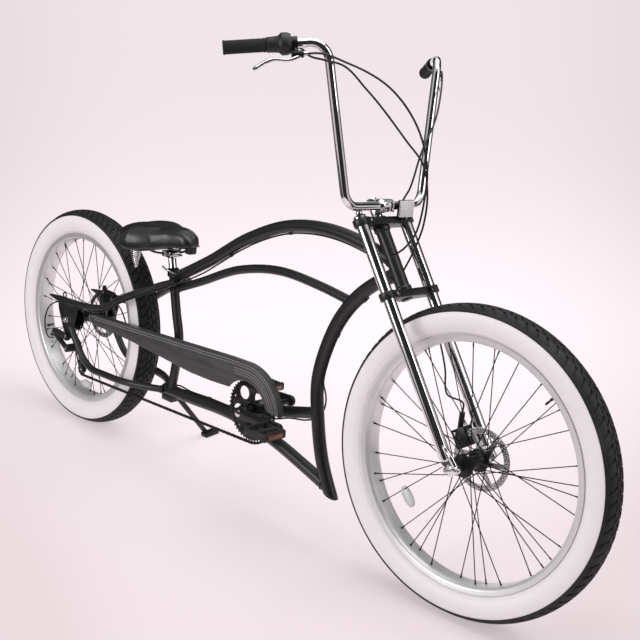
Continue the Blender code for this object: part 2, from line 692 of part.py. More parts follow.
def lace_spokes(name, centre, flange_y, hole_radius, rim_floor):
    """Crossed spokes from both flanges to the rim, each a thin rod, with their ends staggered."""
    bm = bmesh.new()
    pitch = 2 * math.pi / SPOKES_PER_FLANGE
    for side in (-1, 1):
        for index in range(SPOKES_PER_FLANGE):
            lead = 1 if index % 2 else -1
            hub_angle = index * pitch + (pitch / 2 if side > 0 else 0.0)
            rim_angle = hub_angle + lead * 3 * pitch - lead * 0.05
            inner = Vector((math.cos(hub_angle), 0, math.sin(hub_angle))) * hole_radius
            outer = Vector((math.cos(rim_angle), 0, math.sin(rim_angle))) * rim_floor
            inner.y = side * (flange_y + 0.0005 + lead * 0.0017)
            outer.y = side * 0.007
            reach = outer - inner
            turn = Vector((0, 0, 1)).rotation_difference(reach).to_matrix().to_4x4()
            place = Matrix.Translation(centre + (inner + outer) / 2) @ turn
            bmesh.ops.create_cone(
                bm, cap_ends=True, segments=4, radius1=SPOKE_RADIUS, radius2=SPOKE_RADIUS,
                depth=reach.length, matrix=place)
    return link_mesh(f"{name}_spokes", bm)


def build_rotor(name, pivot, centre, y):
    """A disc with a ring, six swept arms and a centre."""
    ring_inner = ROTOR_RADIUS - 0.016
    hub_outer = 0.023
    windows = []
    for arm in range(6):
        start = arm * math.pi / 3
        outer_arc = [(ring_inner, start + math.radians(a)) for a in (6, 18, 30, 42, 54)]
        inner_arc = [(hub_outer, start + math.radians(a)) for a in (62, 50, 38)]
        windows.append([(r * math.cos(t), r * math.sin(t)) for r, t in outer_arc + inner_arc])
    place = Matrix.Translation(centre) @ side_place(y)
    bore = circle((HUB_END_RADIUS + GAP) / math.cos(math.pi / 16), 16)
    rotor = plate("rotor", circle(ROTOR_RADIUS, 36), ROTOR_THICKNESS, place, [*windows, bore])
    return hang(rotor, f"{name}_rotor", "rotor_steel", pivot)


build_wheel("front", front_wheel, front_axle, FRONT_TYRE_RADIUS, FRONT_TYRE_WIDTH, FRONT_RIM_RADIUS,
            FRONT_RIM_WIDTH, FRONT_FLANGE_Y, FRONT_HUB_HALF, FRONT_ROTOR_Y)
build_wheel("rear", rear_wheel, rear_axle, REAR_TYRE_RADIUS, REAR_TYRE_WIDTH, REAR_RIM_RADIUS,
            REAR_RIM_WIDTH, REAR_FLANGE_Y, REAR_HUB_HALF, REAR_ROTOR_Y)


build_rotor("front", front_wheel, front_axle, FRONT_ROTOR_Y)
build_rotor("rear", rear_wheel, rear_axle, REAR_ROTOR_Y)

# Sprocket cluster: six steps on one turned block, the largest inboard, the third in the chain's plane
sprocket_profile = [(HUB_END_RADIUS + GAP, CHAIN_Y + 2 * SPROCKET_STEP + SPROCKET_THICKNESS / 2)]
for step in range(6):
    radius = SPROCKET_RADIUS + 0.004 * (2 - step)
    face = CHAIN_Y + SPROCKET_STEP * (2 - step) + SPROCKET_THICKNESS / 2
    sprocket_profile += [(radius, face), (radius, face - SPROCKET_THICKNESS)]
    if step < 5:
        sprocket_profile.append((radius - 0.009, face - SPROCKET_THICKNESS - 0.0002))
sprocket_profile.append((HUB_END_RADIUS + GAP, sprocket_profile[-1][1]))
sprockets = turned("sprockets", sprocket_profile, rear_axle, (0, 1, 0), 22)
hang(sprockets, "rear_sprockets", "chain_steel", rear_wheel)


def axle_rod(name, centre, hub_half, plate_y, plate_thickness, pivot):
    """An axle with a spacer between the hub and each side's plate, and a nut outside each plate."""
    inner = plate_y - plate_thickness / 2 - GAP
    outer = plate_y + plate_thickness / 2 + GAP
    half = [
        (0.0, outer + 0.016), (AXLE_RADIUS, outer + 0.016), (AXLE_RADIUS, outer + 0.009), (0.0095, outer + 0.009),
        (0.0095, outer), (AXLE_RADIUS, outer),
    ]
    if inner - hub_half > 0.004:
        spacer_start = hub_half + RUNNING_GAP
        half += [(AXLE_RADIUS, inner), (0.0085, inner), (0.0085, spacer_start), (AXLE_RADIUS, spacer_start)]
    profile = half + [(radius, -y) for radius, y in reversed(half)]
    rod = turned(name, profile, centre, (0, 1, 0), 10)
    return hang(rod, name, "chrome", pivot)


axle_rod("rear_axle", rear_axle, REAR_HUB_HALF, DROPOUT_Y, DROPOUT_THICKNESS, bicycle)
axle_rod("front_axle", front_axle, FRONT_HUB_HALF, LEG_SPACING, LEG_LUG_THICKNESS, steering)


# Fork: crowns across the two legs, and the steerer through the head tube


def crown(name, height):
    """A crown seen along the steering axis: a clamp ring round each leg and a boss round the steerer."""
    clamp = LEG_RADIUS + 0.006
    half = [(FORK_TRAIL_OFFSET + 0.0125, LEG_SPACING / 2)]
    for angle in (20, 50, 80, 110, 140, 165):
        turn = math.radians(angle)
        half.append((FORK_TRAIL_OFFSET + clamp * math.cos(turn), LEG_SPACING + clamp * math.sin(turn)))
    half += [(-0.0085, LEG_SPACING / 2), (-0.0175, 0.016), (-0.0225, 0.006)]
    outline = half + [(x, -y) for x, y in reversed(half)]
    flats = 16
    leg_hole = (LEG_RADIUS + GAP) / math.cos(math.pi / flats)
    steerer_hole = (STEERER_RADIUS + GAP) / math.cos(math.pi / flats)
    holes = [
        circle(leg_hole, flats, (FORK_TRAIL_OFFSET, LEG_SPACING)),
        circle(leg_hole, flats, (FORK_TRAIL_OFFSET, -LEG_SPACING)),
    ]
    if name == "upper_crown":
        holes.append(circle(steerer_hole, flats))
    place = Matrix.Translation(steering_point(height)) @ crown_place
    return hang(plate(name, outline, CROWN_THICKNESS, place, holes), name, "black_paint", steering)


crown("upper_crown", UPPER_CROWN_HEIGHT)
lower_crown = crown("lower_crown", LOWER_CROWN_HEIGHT)
steerer_top = UPPER_CROWN_HEIGHT + CROWN_THICKNESS / 2 + 0.003
steerer = round_between(
    "steerer", steering_point(LOWER_CROWN_HEIGHT - CROWN_THICKNESS / 2 + 0.004), steering_point(steerer_top),
    STEERER_RADIUS, 16)
join(lower_crown, steerer)

for side, sign in (("right", -1.0), ("left", 1.0)):
    y = sign * LEG_SPACING
    leg = round_between(
        "leg", steering_point(0.024, y, FORK_TRAIL_OFFSET),
        steering_point(UPPER_CROWN_HEIGHT + CROWN_THICKNESS / 2 + LEG_ABOVE_CROWN, y, FORK_TRAIL_OFFSET),
        LEG_RADIUS, 16)
    hang(smooth_round(leg), f"fork_leg_{side}", "chrome", steering)
    lug_outline = [
        (0.0155 * math.cos(math.radians(a)), 0.0155 * math.sin(math.radians(a))) for a in range(180, 361, 30)
    ] + [(0.0145, 0.034), (-0.0145, 0.034)]
    lug_place = Matrix.Translation(front_axle + Vector((0, y, 0))) @ crown_place @ Matrix.Rotation(
        math.pi / 2, 4, "X")
    lug = plate("leg_lug", lug_outline, LEG_LUG_THICKNESS, lug_place)
    join(leg, lug)
    cut(leg, as_cutter(round_between(
        "axle_hole", front_axle - Vector((0, 0.2, 0)), front_axle + Vector((0, 0.2, 0)),
        (AXLE_RADIUS + GAP) / math.cos(math.pi / 16), 16)))


# Handlebar, stem, grips and controls

bar_base = steering_point(UPPER_CROWN_HEIGHT) + BAR_BASE_FROM_CROWN
bar_top = steering_point(UPPER_CROWN_HEIGHT) + BAR_TOP_FROM_CROWN
grip_end = steering_point(UPPER_CROWN_HEIGHT) + GRIP_END_FROM_CROWN
base_right = bar_base - Vector((0, BAR_BASE_HALF, 0))
base_left = bar_base + Vector((0, BAR_BASE_HALF, 0))
mirror_y = Vector((1, -1, 1))
bar_direction = (bar_top - grip_end).normalized()
bar_end = grip_end + bar_direction * 0.003
bar_path = rounded_path([
    bar_end * mirror_y, bar_top * mirror_y, base_right, base_left, bar_top, bar_end,
], BAR_BEND_RADIUS, 4)
handlebar = tube("handlebar", bar_path, BAR_RADIUS, 12)
hang(handlebar, "handlebar", "chrome", steering)

stem_height = (bar_base.z - steering_point(0).z) / math.sin(HEAD_ANGLE)
stem_head = steering_point(stem_height)
stem = round_between("stem", steering_point(steerer_top + GAP), steering_point(stem_height + 0.012), 0.0135, 16)
hang(stem, "stem", "chrome", steering)
join(stem, block("stem_neck", (stem_head + bar_base) / 2, ((bar_base - stem_head).length + 0.006, 0.034, 0.026)))
join(stem, round_between(
    "stem_clamp", bar_base - Vector((0, STEM_CLAMP_HALF, 0)), bar_base + Vector((0, STEM_CLAMP_HALF, 0)),
    BAR_RADIUS + 0.007, 16))
cut(stem, as_cutter(as_mesh(tube("bar_cutter", bar_path, BAR_RADIUS + GAP, 12))))

grip_bore = (BAR_RADIUS + GAP) / math.cos(math.pi / 16)
lever_ends = {}
for side, sign, length in (("right", -1.0, TWIST_GRIP_LENGTH), ("left", 1.0, PLAIN_GRIP_LENGTH)):
    mirror = Vector((1, sign, 1))
    start = grip_end * mirror
    inward = bar_direction * mirror
    grip = turned("grip", [
        (0.004, 0.0), (GRIP_RADIUS + 0.001, 0.0), (GRIP_RADIUS + 0.001, 0.004), (GRIP_RADIUS, 0.006),
        (GRIP_RADIUS, length - 0.004), (GRIP_RADIUS - 0.002, length), (grip_bore, length), (grip_bore, 0.0028),
        (0.004, 0.0028),
    ], start, inward, 16)
    hang(grip, f"grip_{side}", "grip_rubber", steering)
    clamp_at = length + GAP
    if side == "right":
        shifter = turned("shifter", [
            (grip_bore, 0.0), (0.0175, 0.0), (0.0180, 0.012), (0.0195, 0.030), (0.0260, 0.036), (0.0260, 0.050),
            (0.0220, SHIFTER_LENGTH), (grip_bore, SHIFTER_LENGTH),
        ], start + inward * clamp_at, inward, 20)
        hang(shifter, "twist_shifter", "black_plastic", steering)
        clamp_at += SHIFTER_LENGTH + GAP
    lever_drop = Vector((1.0, 0.0, LEVER_SLOPE))
    lever_drop = (lever_drop - inward * lever_drop.dot(inward)).normalized()
    clamp_start = start + inward * clamp_at
    if side == "right":
        shifter_end = clamp_start + inward.cross(lever_drop) * 0.0190
    lever_ends[side] = clamp_start + inward * 0.035 + lever_drop * 0.031
    lever = turned("lever", [
        (grip_bore, 0.0), (BAR_RADIUS + 0.005, 0.0), (BAR_RADIUS + 0.005, 0.014), (grip_bore, 0.014),
    ], clamp_start, inward, 16)
    hang(lever, f"brake_lever_{side}", "black_alloy", steering)
    perch = clamp_start + inward * 0.007
    join(lever, round_between("perch", perch + lever_drop * 0.0135, perch + lever_drop * 0.034, 0.0068, 10))
    join(lever, round_between(
        "perch_barrel", perch + lever_drop * 0.031 - inward * 0.010, perch + lever_drop * 0.031 + inward * 0.028,
        0.0075, 10))
    blade_path = smooth_path([
        perch + lever_drop * 0.036 + inward * 0.004, perch + lever_drop * 0.044 - inward * 0.022,
        perch + lever_drop * 0.040 - inward * 0.070, perch + lever_drop * 0.052 - inward * 0.110,
    ], 3)
    join(lever, as_mesh(tube("blade", blade_path, 0.0048, 8)))


# Seat: post up from the seat tube, clamp, saddle on rails with two springs

seat_tube_top = seat_tube_path[0]
seat_slope = (seat_tube_path[0] - seat_tube_path[2]).normalized()
post_top = seat_tube_top + seat_slope * SEAT_POST_LENGTH
seat_post = round_between("seat_post", seat_tube_top + seat_slope * GAP, post_top, SEAT_POST_RADIUS, 16)
hang(smooth_round(seat_post), "seat_post", "chrome", bicycle)
collar = turned("seat_clamp", [
    (SEAT_TUBE_RADIUS + GAP * 2, -0.026), (SEAT_TUBE_RADIUS + 0.0045, -0.026), (SEAT_TUBE_RADIUS + 0.0045, -0.002),
    (SEAT_TUBE_RADIUS + GAP * 2, -0.002),
], seat_tube_top, seat_slope, 20)
hang(collar, "seat_clamp", "black_alloy", bicycle)
cut(top_tube, as_cutter(round_between(
    "collar_cutter", seat_tube_top - seat_slope * (0.026 + GAP), seat_tube_top + seat_slope * 0.002,
    SEAT_TUBE_RADIUS + 0.0045 + GAP, 20)))

clamp_base = post_top + seat_slope * GAP
saddle_frame = block(
    "saddle_clamp", clamp_base + Vector((0.0, 0.0, 0.010)), (0.046, 0.050, 0.020))
hang(saddle_frame, "saddle_frame", "chrome", bicycle)
cut(saddle_frame, as_cutter(round_between(
    "post_cutter", seat_tube_top, post_top + seat_slope * GAP, SEAT_POST_RADIUS + GAP, 16)))

# Saddle: cross-sections from the back to the nose, as X from the back, half width, top and underside
SADDLE_SECTIONS = (
    (0.000, 0.045, 0.738, 0.712), (0.012, 0.092, 0.753, 0.698), (0.036, 0.118, 0.762, 0.689),
    (0.075, 0.125, 0.762, 0.685), (0.115, 0.113, 0.758, 0.686), (0.155, 0.086, 0.754, 0.694),
    (0.200, 0.058, 0.751, 0.705), (0.240, 0.045, 0.748, 0.707), (0.272, 0.036, 0.740, 0.699),
    (0.290, 0.020, 0.722, 0.700),
)
SADDLE_SECTION = (
    (0.0, 0.06), (0.70, 0.04), (0.93, 0.0), (1.0, 0.22), (0.99, 0.50), (0.90, 0.80), (0.66, 0.95), (0.34, 1.0),
    (0.0, 0.975),
)
width_scale = SADDLE_WIDTH / SADDLE_DRAWN_WIDTH
length_scale = SADDLE_LENGTH / SADDLE_DRAWN_LENGTH
seat_step = post_top - POST_TOP_DRAWN
section = list(SADDLE_SECTION) + [(-y, z) for y, z in SADDLE_SECTION[-2:0:-1]]
bm = bmesh.new()
rings = []
for ahead, half_width, top, underside in SADDLE_SECTIONS:
    rings.append([
        bm.verts.new(seat_step + Vector((SADDLE_REAR + ahead * length_scale, half_width * width_scale * y,
                                         underside + (top - underside) * z)))
        for y, z in section
    ])
for ring, following in zip(rings, rings[1:]):
    for index in range(len(section)):
        after = (index + 1) % len(section)
        bm.faces.new((ring[index], ring[after], following[after], following[index]))
bm.faces.new(rings[0])
bm.faces.new(rings[-1])
bmesh.ops.recalc_face_normals(bm, faces=bm.faces)
bm.normal_update()
grown = bm.copy()
for vertex, original in zip(grown.verts, bm.verts):
    vertex.co = original.co + original.normal * 1.5 * GAP
saddle_cutter = as_cutter(link_mesh("saddle_cutter", grown))
saddle = hang(smooth_round(link_mesh("saddle", bm), math.radians(60)), "saddle", "saddle_vinyl", bicycle)
clamp_top = clamp_base.z + 0.012


def under_saddle(ahead, y, z):
    """A drawn point at a distance ahead of the saddle's back, following the saddle's length and place."""
    return seat_step + Vector((SADDLE_REAR + ahead * length_scale, y, z))


for sign in (-1.0, 1.0):
    spring_foot = under_saddle(0.080, sign * 0.070, 0.622)
    join(saddle_frame, as_mesh(tube("rail", smooth_path([
        spring_foot, under_saddle(0.113, sign * 0.040, 0.634), Vector((clamp_base.x, sign * 0.018, clamp_top)),
        under_saddle(0.213, sign * 0.020, 0.686), under_saddle(0.248, sign * 0.014, 0.712),
    ], 2), 0.0035, 6)))
    join(saddle_frame, round_between(
        "spring", spring_foot - Vector((0, 0, 0.006)), spring_foot + Vector((0, 0, 0.068)), 0.007, 10, 0.0150))
cut(saddle_frame, saddle_cutter)


# Chain: one closed belt over the chainring, the sprocket and the two pulleys


def belt(offset):
    """The belt's path at a distance outside its middle line, as (x, z) points."""
    reach = CHAIN_CLEARANCE + CHAIN_HEIGHT / 2
    wheels = (
        (bracket, CHAINRING_RADIUS + reach, 1, 26), (rear_axle, SPROCKET_RADIUS + reach, 1, 12),
        (upper_pulley, PULLEY_RADIUS + reach, -1, 8), (lower_pulley, PULLEY_RADIUS + reach, 1, 8),
    )
    contacts = []
    for index, (centre, radius, turn, _) in enumerate(wheels):
        following, next_radius, next_turn, _ = wheels[(index + 1) % len(wheels)]
        run = Vector((following.x - centre.x, following.z - centre.z))
        spread = turn * (radius + turn * offset) - next_turn * (next_radius + next_turn * offset)
        contacts.append(math.atan2(run.y, run.x) - math.acos(spread / run.length))
    path = []
    for index, (centre, radius, turn, steps) in enumerate(wheels):
        start, end = contacts[index - 1], contacts[index]
        sweep = (end - start) % (2 * math.pi) if turn > 0 else -((start - end) % (2 * math.pi))
        flip = 0.0 if turn > 0 else math.pi
        reach_now = radius + turn * offset
        for step in range(steps + 1):
            angle = start + sweep * step / steps + flip
            path.append((centre.x + reach_now * math.cos(angle), centre.z + reach_now * math.sin(angle)))
    return path


chain = plate("chain", belt(CHAIN_HEIGHT / 2), CHAIN_WIDTH, side_place(CHAIN_Y), [belt(-CHAIN_HEIGHT / 2)])
hang(chain, "chain", "chain_steel", bicycle)


# Cranks: the chainring on its boss, both arms and the pedals

RING_HOLES = 5
ring_windows = []
for index in range(RING_HOLES):
    turn = math.radians(52.0) + index * 2 * math.pi / RING_HOLES
    ring_windows.append(circle(
        CHAINRING_HOLE_RADIUS, 12, (CHAINRING_HOLE_REACH * math.cos(turn), CHAINRING_HOLE_REACH * math.sin(turn))))
tips = circle(CHAINRING_RADIUS, CHAINRING_TEETH)
roots = circle(CHAINRING_RADIUS - TOOTH_HEIGHT, CHAINRING_TEETH, start=math.pi / CHAINRING_TEETH)
toothed = [point for pair in zip(tips, roots) for point in pair]
ring_bore = circle((RING_BOSS_RADIUS + GAP) / math.cos(math.pi / 20), 20)
chainring = plate(
    "chainring", toothed, CHAINRING_THICKNESS,
    Matrix.Translation(bracket) @ side_place(CHAIN_Y), [*ring_windows, ring_bore])
hang(chainring, "chainring", "black_alloy", cranks)

spindle_half = CRANK_Y + CRANK_THICKNESS / 2
axis_y = Vector((0, 1, 0))
crank_set = round_between(
    "spindle", bracket - axis_y * (spindle_half - 0.002), bracket + axis_y * (spindle_half - 0.002),
    SPINDLE_RADIUS, 16)
hang(smooth_round(crank_set), "crank_set", "black_alloy", cranks)
join(crank_set, round_between(
    "ring_boss", bracket - axis_y * (CRANK_Y - 0.002), bracket + axis_y * (CHAIN_Y + 0.004),
    RING_BOSS_RADIUS, 20))


def crank_outline(length, lift):
    """The arm from above its spindle end, along X, narrowing to the pedal end."""
    root, tip = 0.0165, 0.0125
    rise = math.atan2(lift, length)
    points = [(root * math.cos(math.radians(a)), root * math.sin(math.radians(a))) for a in (90, 130, 180, 230, 270)]
    points += [
        (length + tip * math.cos(math.radians(a)), tip * math.sin(math.radians(a))) for a in (-85, -45, 0, 45, 85)
    ]
    cosine, sine = math.cos(rise), math.sin(rise)
    return [(x * cosine - y * sine, x * sine + y * cosine) for x, y in points]


for side, sign in (("right", -1.0), ("left", 1.0)):
    pedal_centre = right_pedal_centre if side == "right" else left_pedal_centre
    step = pedal_centre - bracket
    arm_place = Matrix.Translation(bracket) @ side_place(sign * CRANK_Y)
    outline = crank_outline(abs(step.x), abs(step.z))
    if side == "left":
        outline = [(-x, -y) for x, y in outline]
    join(crank_set, plate(f"arm_{side}", outline, CRANK_THICKNESS, arm_place))
    pedal_inner = pedal_centre + axis_y * sign * (CRANK_Y + CRANK_THICKNESS / 2 + PEDAL_SPACE)
    spindle_end = pedal_inner + axis_y * sign * (PEDAL_WIDTH - 0.006)
    join(crank_set, round_between(
        f"pedal_spindle_{side}", pedal_centre + axis_y * sign * CRANK_Y, spindle_end, PEDAL_SPINDLE_RADIUS, 12))
    half_length, half_width = PEDAL_LENGTH / 2, PEDAL_WIDTH / 2
    window = [
        (0.012, half_width - 0.010), (half_length - 0.012, half_width - 0.010),
        (half_length - 0.012, -half_width + 0.010), (0.012, -half_width + 0.010),
    ]
    pedal_outline = [
        (half_length, half_width - 0.012), (half_length - 0.014, half_width), (-half_length + 0.014, half_width),
        (-half_length, half_width - 0.012), (-half_length, -half_width + 0.012), (-half_length + 0.014, -half_width),
        (half_length - 0.014, -half_width), (half_length, -half_width + 0.012),
    ]
    pedal_middle = pedal_inner + axis_y * sign * half_width
    pedal = plate(
        "pedal", pedal_outline, PEDAL_THICKNESS, Matrix.Translation(pedal_middle),
        [window, [(-x, y) for x, y in window]])
    hang(pedal, f"pedal_{side}", "black_plastic", pedal_pivots[side])
    bore = (PEDAL_SPINDLE_RADIUS + RUNNING_GAP) / math.cos(math.pi / 12)
    cut(pedal, as_cutter(round_between(
        "pedal_bore", pedal_inner - axis_y * sign * 0.01, spindle_end + axis_y * sign * RUNNING_GAP, bore, 12)))


# Chain guard: an outer skin with a lip along the top, open toward the chain and below

guard_centre = Vector((bracket.x + 0.008, bracket.z + 0.003))


def guard_arc(radius, start, end, steps):
    return [
        (guard_centre.x + radius * math.cos(math.radians(start + (end - start) * step / steps)),
         guard_centre.y + radius * math.sin(math.radians(start + (end - start) * step / steps)))
        for step in range(steps + 1)
    ]


GUARD_TOP = ((0.146, 0.419), (0.411, 0.433), (0.636, 0.445), (0.842, 0.4565))
GUARD_BOTTOM = ((0.761, 0.364), (0.667, 0.363), (0.519, 0.373), (0.361, 0.384), (0.194, 0.386), (0.154, 0.390))
GUARD_TIP = (0.118, 0.3985)


def outline_on_guard(points):
    """Guard points drawn in X and Z: the rear end keeps to the stays and the front end to the bottom bracket."""
    drawn = []
    for x, z in points:
        rear = on_frame(GUARD_REAR_X, 0.0, z) - Vector((GUARD_REAR_X, 0.0, z))
        step = rear.lerp(bracket - BRACKET_DRAWN, share(x, GUARD_REAR_X, GUARD_FRONT_X))
        drawn.append((x + step.x, z + step.z))
    return drawn


guard_outline = (
    outline_on_guard(GUARD_TOP) + guard_arc(GUARD_ARC_RADIUS, 92, 10, 9)
    + guard_arc(GUARD_CUTOUT_RADIUS, 19, 143, 9) + outline_on_guard([*GUARD_BOTTOM, GUARD_TIP])
)
guard_middle = GUARD_OUTER_Y + GUARD_DEPTH / 2
guard = plate("guard", guard_outline, GUARD_DEPTH, side_place(guard_middle))
hang(guard, "chain_guard", "guard_plastic", bicycle)
hollow_outline = (
    [(x + 0.004, z - GUARD_WALL) for x, z in outline_on_guard(GUARD_TOP)] + guard_arc(GUARD_ARC_RADIUS - GUARD_WALL, 91, 5, 9)
    + [(guard_centre.x + GUARD_ARC_RADIUS - GUARD_WALL, guard_centre.y - 0.015)]
    + outline_on_guard([(0.908, 0.30), (0.70, 0.30), (0.15, 0.32)])
)
hollow = plate("guard_hollow", hollow_outline, GUARD_DEPTH, side_place(guard_middle + GUARD_WALL))
cut(guard, as_cutter(hollow))
skin_y = GUARD_OUTER_Y + GUARD_WALL
join(guard, block("guard_tab", on_frame(0.150, -0.0775, 0.4120), (0.018, 0.016, 0.0030)))
join(guard, block("guard_tab_riser", on_frame(0.150, -0.0700, 0.4245), (0.018, 0.0030, 0.0280)))
arm_at = on_frame(0.4965, (skin_y - 0.001) / 2, 0.3850)
arm_at.z = outline_on_guard([(0.4965, 0.3850)])[0][1]
join(guard, block("guard_arm", arm_at, (0.018, abs(skin_y - 0.001), 0.0040)))
cut(guard, seat_tube_cutter)
cut(guard, as_cutter(as_mesh(tube("stay_cutter", stay_path(UPPER_STAY, -1.0), STAY_RADIUS + GAP, 10))))


# Rear derailleur: knuckle under the right dropout, swinging link, and the cage with its two pulleys

derailleur = block("knuckle", on_frame(-0.018, -0.0950, 0.3110), (0.088, 0.0174, 0.018), Matrix.Rotation(0.10, 4, "Y"))
hang(derailleur, "rear_derailleur", "black_plastic", bicycle)
join(derailleur, block(
    "link", on_frame(-0.026, -0.0950, 0.2910), (0.094, 0.013, 0.013), Matrix.Rotation(math.radians(27), 4, "Y")))
cage_outer = CHAIN_Y - CAGE_HALF
cage_inner = CHAIN_Y + CAGE_HALF
join(derailleur, round_between(
    "cage_knuckle", upper_pulley + axis_y * (-0.104), upper_pulley + axis_y * cage_outer,
    0.0135, 12))
for name, y in (("cage_outer", cage_outer), ("cage_inner", cage_inner)):
    step = lower_pulley - upper_pulley
    lean = math.atan2(step.z, step.x)
    outline = []
    for centre, start in ((upper_pulley, lean + math.pi / 2), (lower_pulley, lean - math.pi / 2)):
        for index in range(5):
            angle = start + index * math.pi / 4
            outline.append((centre.x + 0.0115 * math.cos(angle), centre.z + 0.0115 * math.sin(angle)))
    join(derailleur, plate(name, outline, 0.0018, side_place(y)))
for centre in (upper_pulley, lower_pulley):
    join(derailleur, round_between(
        "pulley_pin", centre + axis_y * (cage_outer - 0.0005), centre + axis_y * (cage_inner + 0.0005), 0.004, 8))
    join(derailleur, round_between(
        "pulley", centre + axis_y * (CHAIN_Y - 0.001), centre + axis_y * (CHAIN_Y + 0.001), PULLEY_RADIUS, 14))


# Disc calipers: blocks with a slot for the disc, seated on the left fork leg and on the left upper stay

front_caliper_at = steering_point(0.066, 0.0, FORK_TRAIL_OFFSET - 0.034)
lean_turn = Matrix.Rotation(HEAD_ANGLE - math.pi / 2, 4, "Y")
inner_y, outer_y = FRONT_ROTOR_Y - 0.0085, LEG_SPACING - 0.002
front_caliper = block(
    "front_caliper", front_caliper_at + axis_y * (inner_y + outer_y) / 2, (0.040, outer_y - inner_y, 0.050),
    lean_turn)
hang(front_caliper, "front_caliper", "black_alloy", steering)
join(front_caliper, round_between(
    "caliper_arm", front_caliper_at + Vector((-0.016, 0.060, 0.014)), front_caliper_at + Vector((-0.016, 0.060, 0.060)),
    0.0075, 10))
cut(front_caliper, as_cutter(round_between(
    "disc_slot", front_axle + axis_y * (FRONT_ROTOR_Y - DISC_SLOT), front_axle + axis_y * (FRONT_ROTOR_Y + DISC_SLOT),
    ROTOR_RADIUS + 0.003, 32)))
cut(front_caliper, as_cutter(round_between(
    "leg_cutter", steering_point(0.02, LEG_SPACING, FORK_TRAIL_OFFSET),
    steering_point(0.30, LEG_SPACING, FORK_TRAIL_OFFSET), LEG_RADIUS + GAP, 16)))

rear_caliper_at = on_frame(0.018, 0.0, 0.4330)
inner_y, outer_y = REAR_ROTOR_Y - 0.0085, DROPOUT_Y
rear_caliper = block(
    "rear_caliper", rear_caliper_at + axis_y * (inner_y + outer_y) / 2, (0.052, outer_y - inner_y, 0.036),
    Matrix.Rotation(0.03, 4, "Y"))
hang(rear_caliper, "rear_caliper", "black_alloy", bicycle)
join(rear_caliper, round_between(
    "caliper_arm", rear_caliper_at + Vector((-0.020, 0.062, 0.008)), rear_caliper_at + Vector((-0.020, 0.062, 0.034)),
    0.0070, 10))
cut(rear_caliper, as_cutter(round_between(
    "rear_disc_slot", rear_axle + axis_y * (REAR_ROTOR_Y - DISC_SLOT), rear_axle + axis_y * (REAR_ROTOR_Y + DISC_SLOT),
    ROTOR_RADIUS + 0.003, 32)))
left_stay_path = [on_frame(*UPPER_STAY_TIP[0])] + stay_path(UPPER_STAY, 1.0)
cut(rear_caliper, as_cutter(as_mesh(tube(
    "left_stay_cutter", left_stay_path, STAY_RADIUS + GAP, 10, [UPPER_STAY_TIP[1]] + [1.0] * (len(left_stay_path) - 1)))))
cut(rear_caliper, as_cutter(block("dropout_cutter", on_frame(0.0, DROPOUT_Y, 0.38), (0.2, DROPOUT_THICKNESS + 2 * GAP, 0.11))))


# Side stand: a bracket under the boom's rear end carries the pin, and the leg folds round it

stand_bracket = round_between(
    "stand_pin", stand_pivot - STAND_AXIS * 0.012, stand_pivot + STAND_AXIS * 0.0120, STAND_PIN_RADIUS, 12)
hang(stand_bracket, "stand_bracket", "black_paint", bicycle)
join(stand_bracket, round_between(
    "stand_boss", stand_pivot - STAND_AXIS * 0.030, stand_pivot - STAND_AXIS * (STAND_HEAD_HALF + RUNNING_GAP),
    0.0135, 14))
join(stand_bracket, round_between(
    "stand_cap", stand_pivot + STAND_AXIS * (STAND_HEAD_HALF + RUNNING_GAP), stand_pivot + STAND_AXIS * 0.0135,
    0.0075, 12))
join(stand_bracket, block("stand_plate", on_frame(0.462, 0.0025, 0.2150), (0.050, 0.027, 0.030)))
cut(stand_bracket, boom_cutter)
for sign in (-1.0, 1.0):
    cut(stand_bracket, as_cutter(as_mesh(tube(
        "lower_stay_cutter", stay_path(LOWER_STAY, sign), STAY_RADIUS + GAP, 10))))

head_bore_radius = (STAND_PIN_RADIUS + RUNNING_GAP) / math.cos(math.pi / 14)
side_stand = turned("side_stand", [
    (head_bore_radius, -STAND_HEAD_HALF), (STAND_HEAD_RADIUS, -STAND_HEAD_HALF), (STAND_HEAD_RADIUS, STAND_HEAD_HALF),
    (head_bore_radius, STAND_HEAD_HALF),
], stand_pivot, STAND_AXIS, 14)
hang(side_stand, "side_stand", "black_alloy", stand)
leg_way = (stand_foot - stand_pivot).normalized()
join(side_stand, round_between(
    "stand_leg", stand_pivot + leg_way * STAND_HEAD_RADIUS, stand_foot + leg_way * 0.002, STAND_RADIUS, 12))
foot_centre = stand_foot + Vector((0.006, 0.012, -0.001))
join(side_stand, block(
    "stand_foot", foot_centre, (0.030, 0.056, 0.014), Matrix.Rotation(LEAN, 4, "X")))


# Cables: two runs held along the frame, two loops from the handlebar to the head tube, one to the front caliper

cable_lift = CABLE_RADIUS + 1.5 * GAP


def alongside(path, distance, first, last):
    """Part of a middle-plane path, moved sideways in the plane, to the left of its direction."""
    moved = []
    for index in range(first, last + 1):
        along = (path[index + 1] - path[index - 1]).normalized()
        moved.append(path[index] + Vector((-along.z, 0.0, along.x)) * distance)
    return moved


def beside_stay(keys, sign, first, last, toward):
    """Points that follow a stay on one side of it."""
    stay_keys = stay_path(keys, sign)
    followed = []
    for index in range(first, last + 1):
        along = (stay_keys[index + 1] - stay_keys[index - 1]).normalized()
        outward = (toward - along * toward.dot(along)).normalized()
        followed.append(stay_keys[index] + outward * (STAY_RADIUS + cable_lift + GAP))
    return followed


def straightened(point):
    """Where a point beside the parked, slightly turned fork lies while the fork is laid out straight."""
    place = design_place["steering"]
    return place @ Matrix.Rotation(-STEER, 4, "Z") @ place.inverted() @ (Vector(point) + head_step)


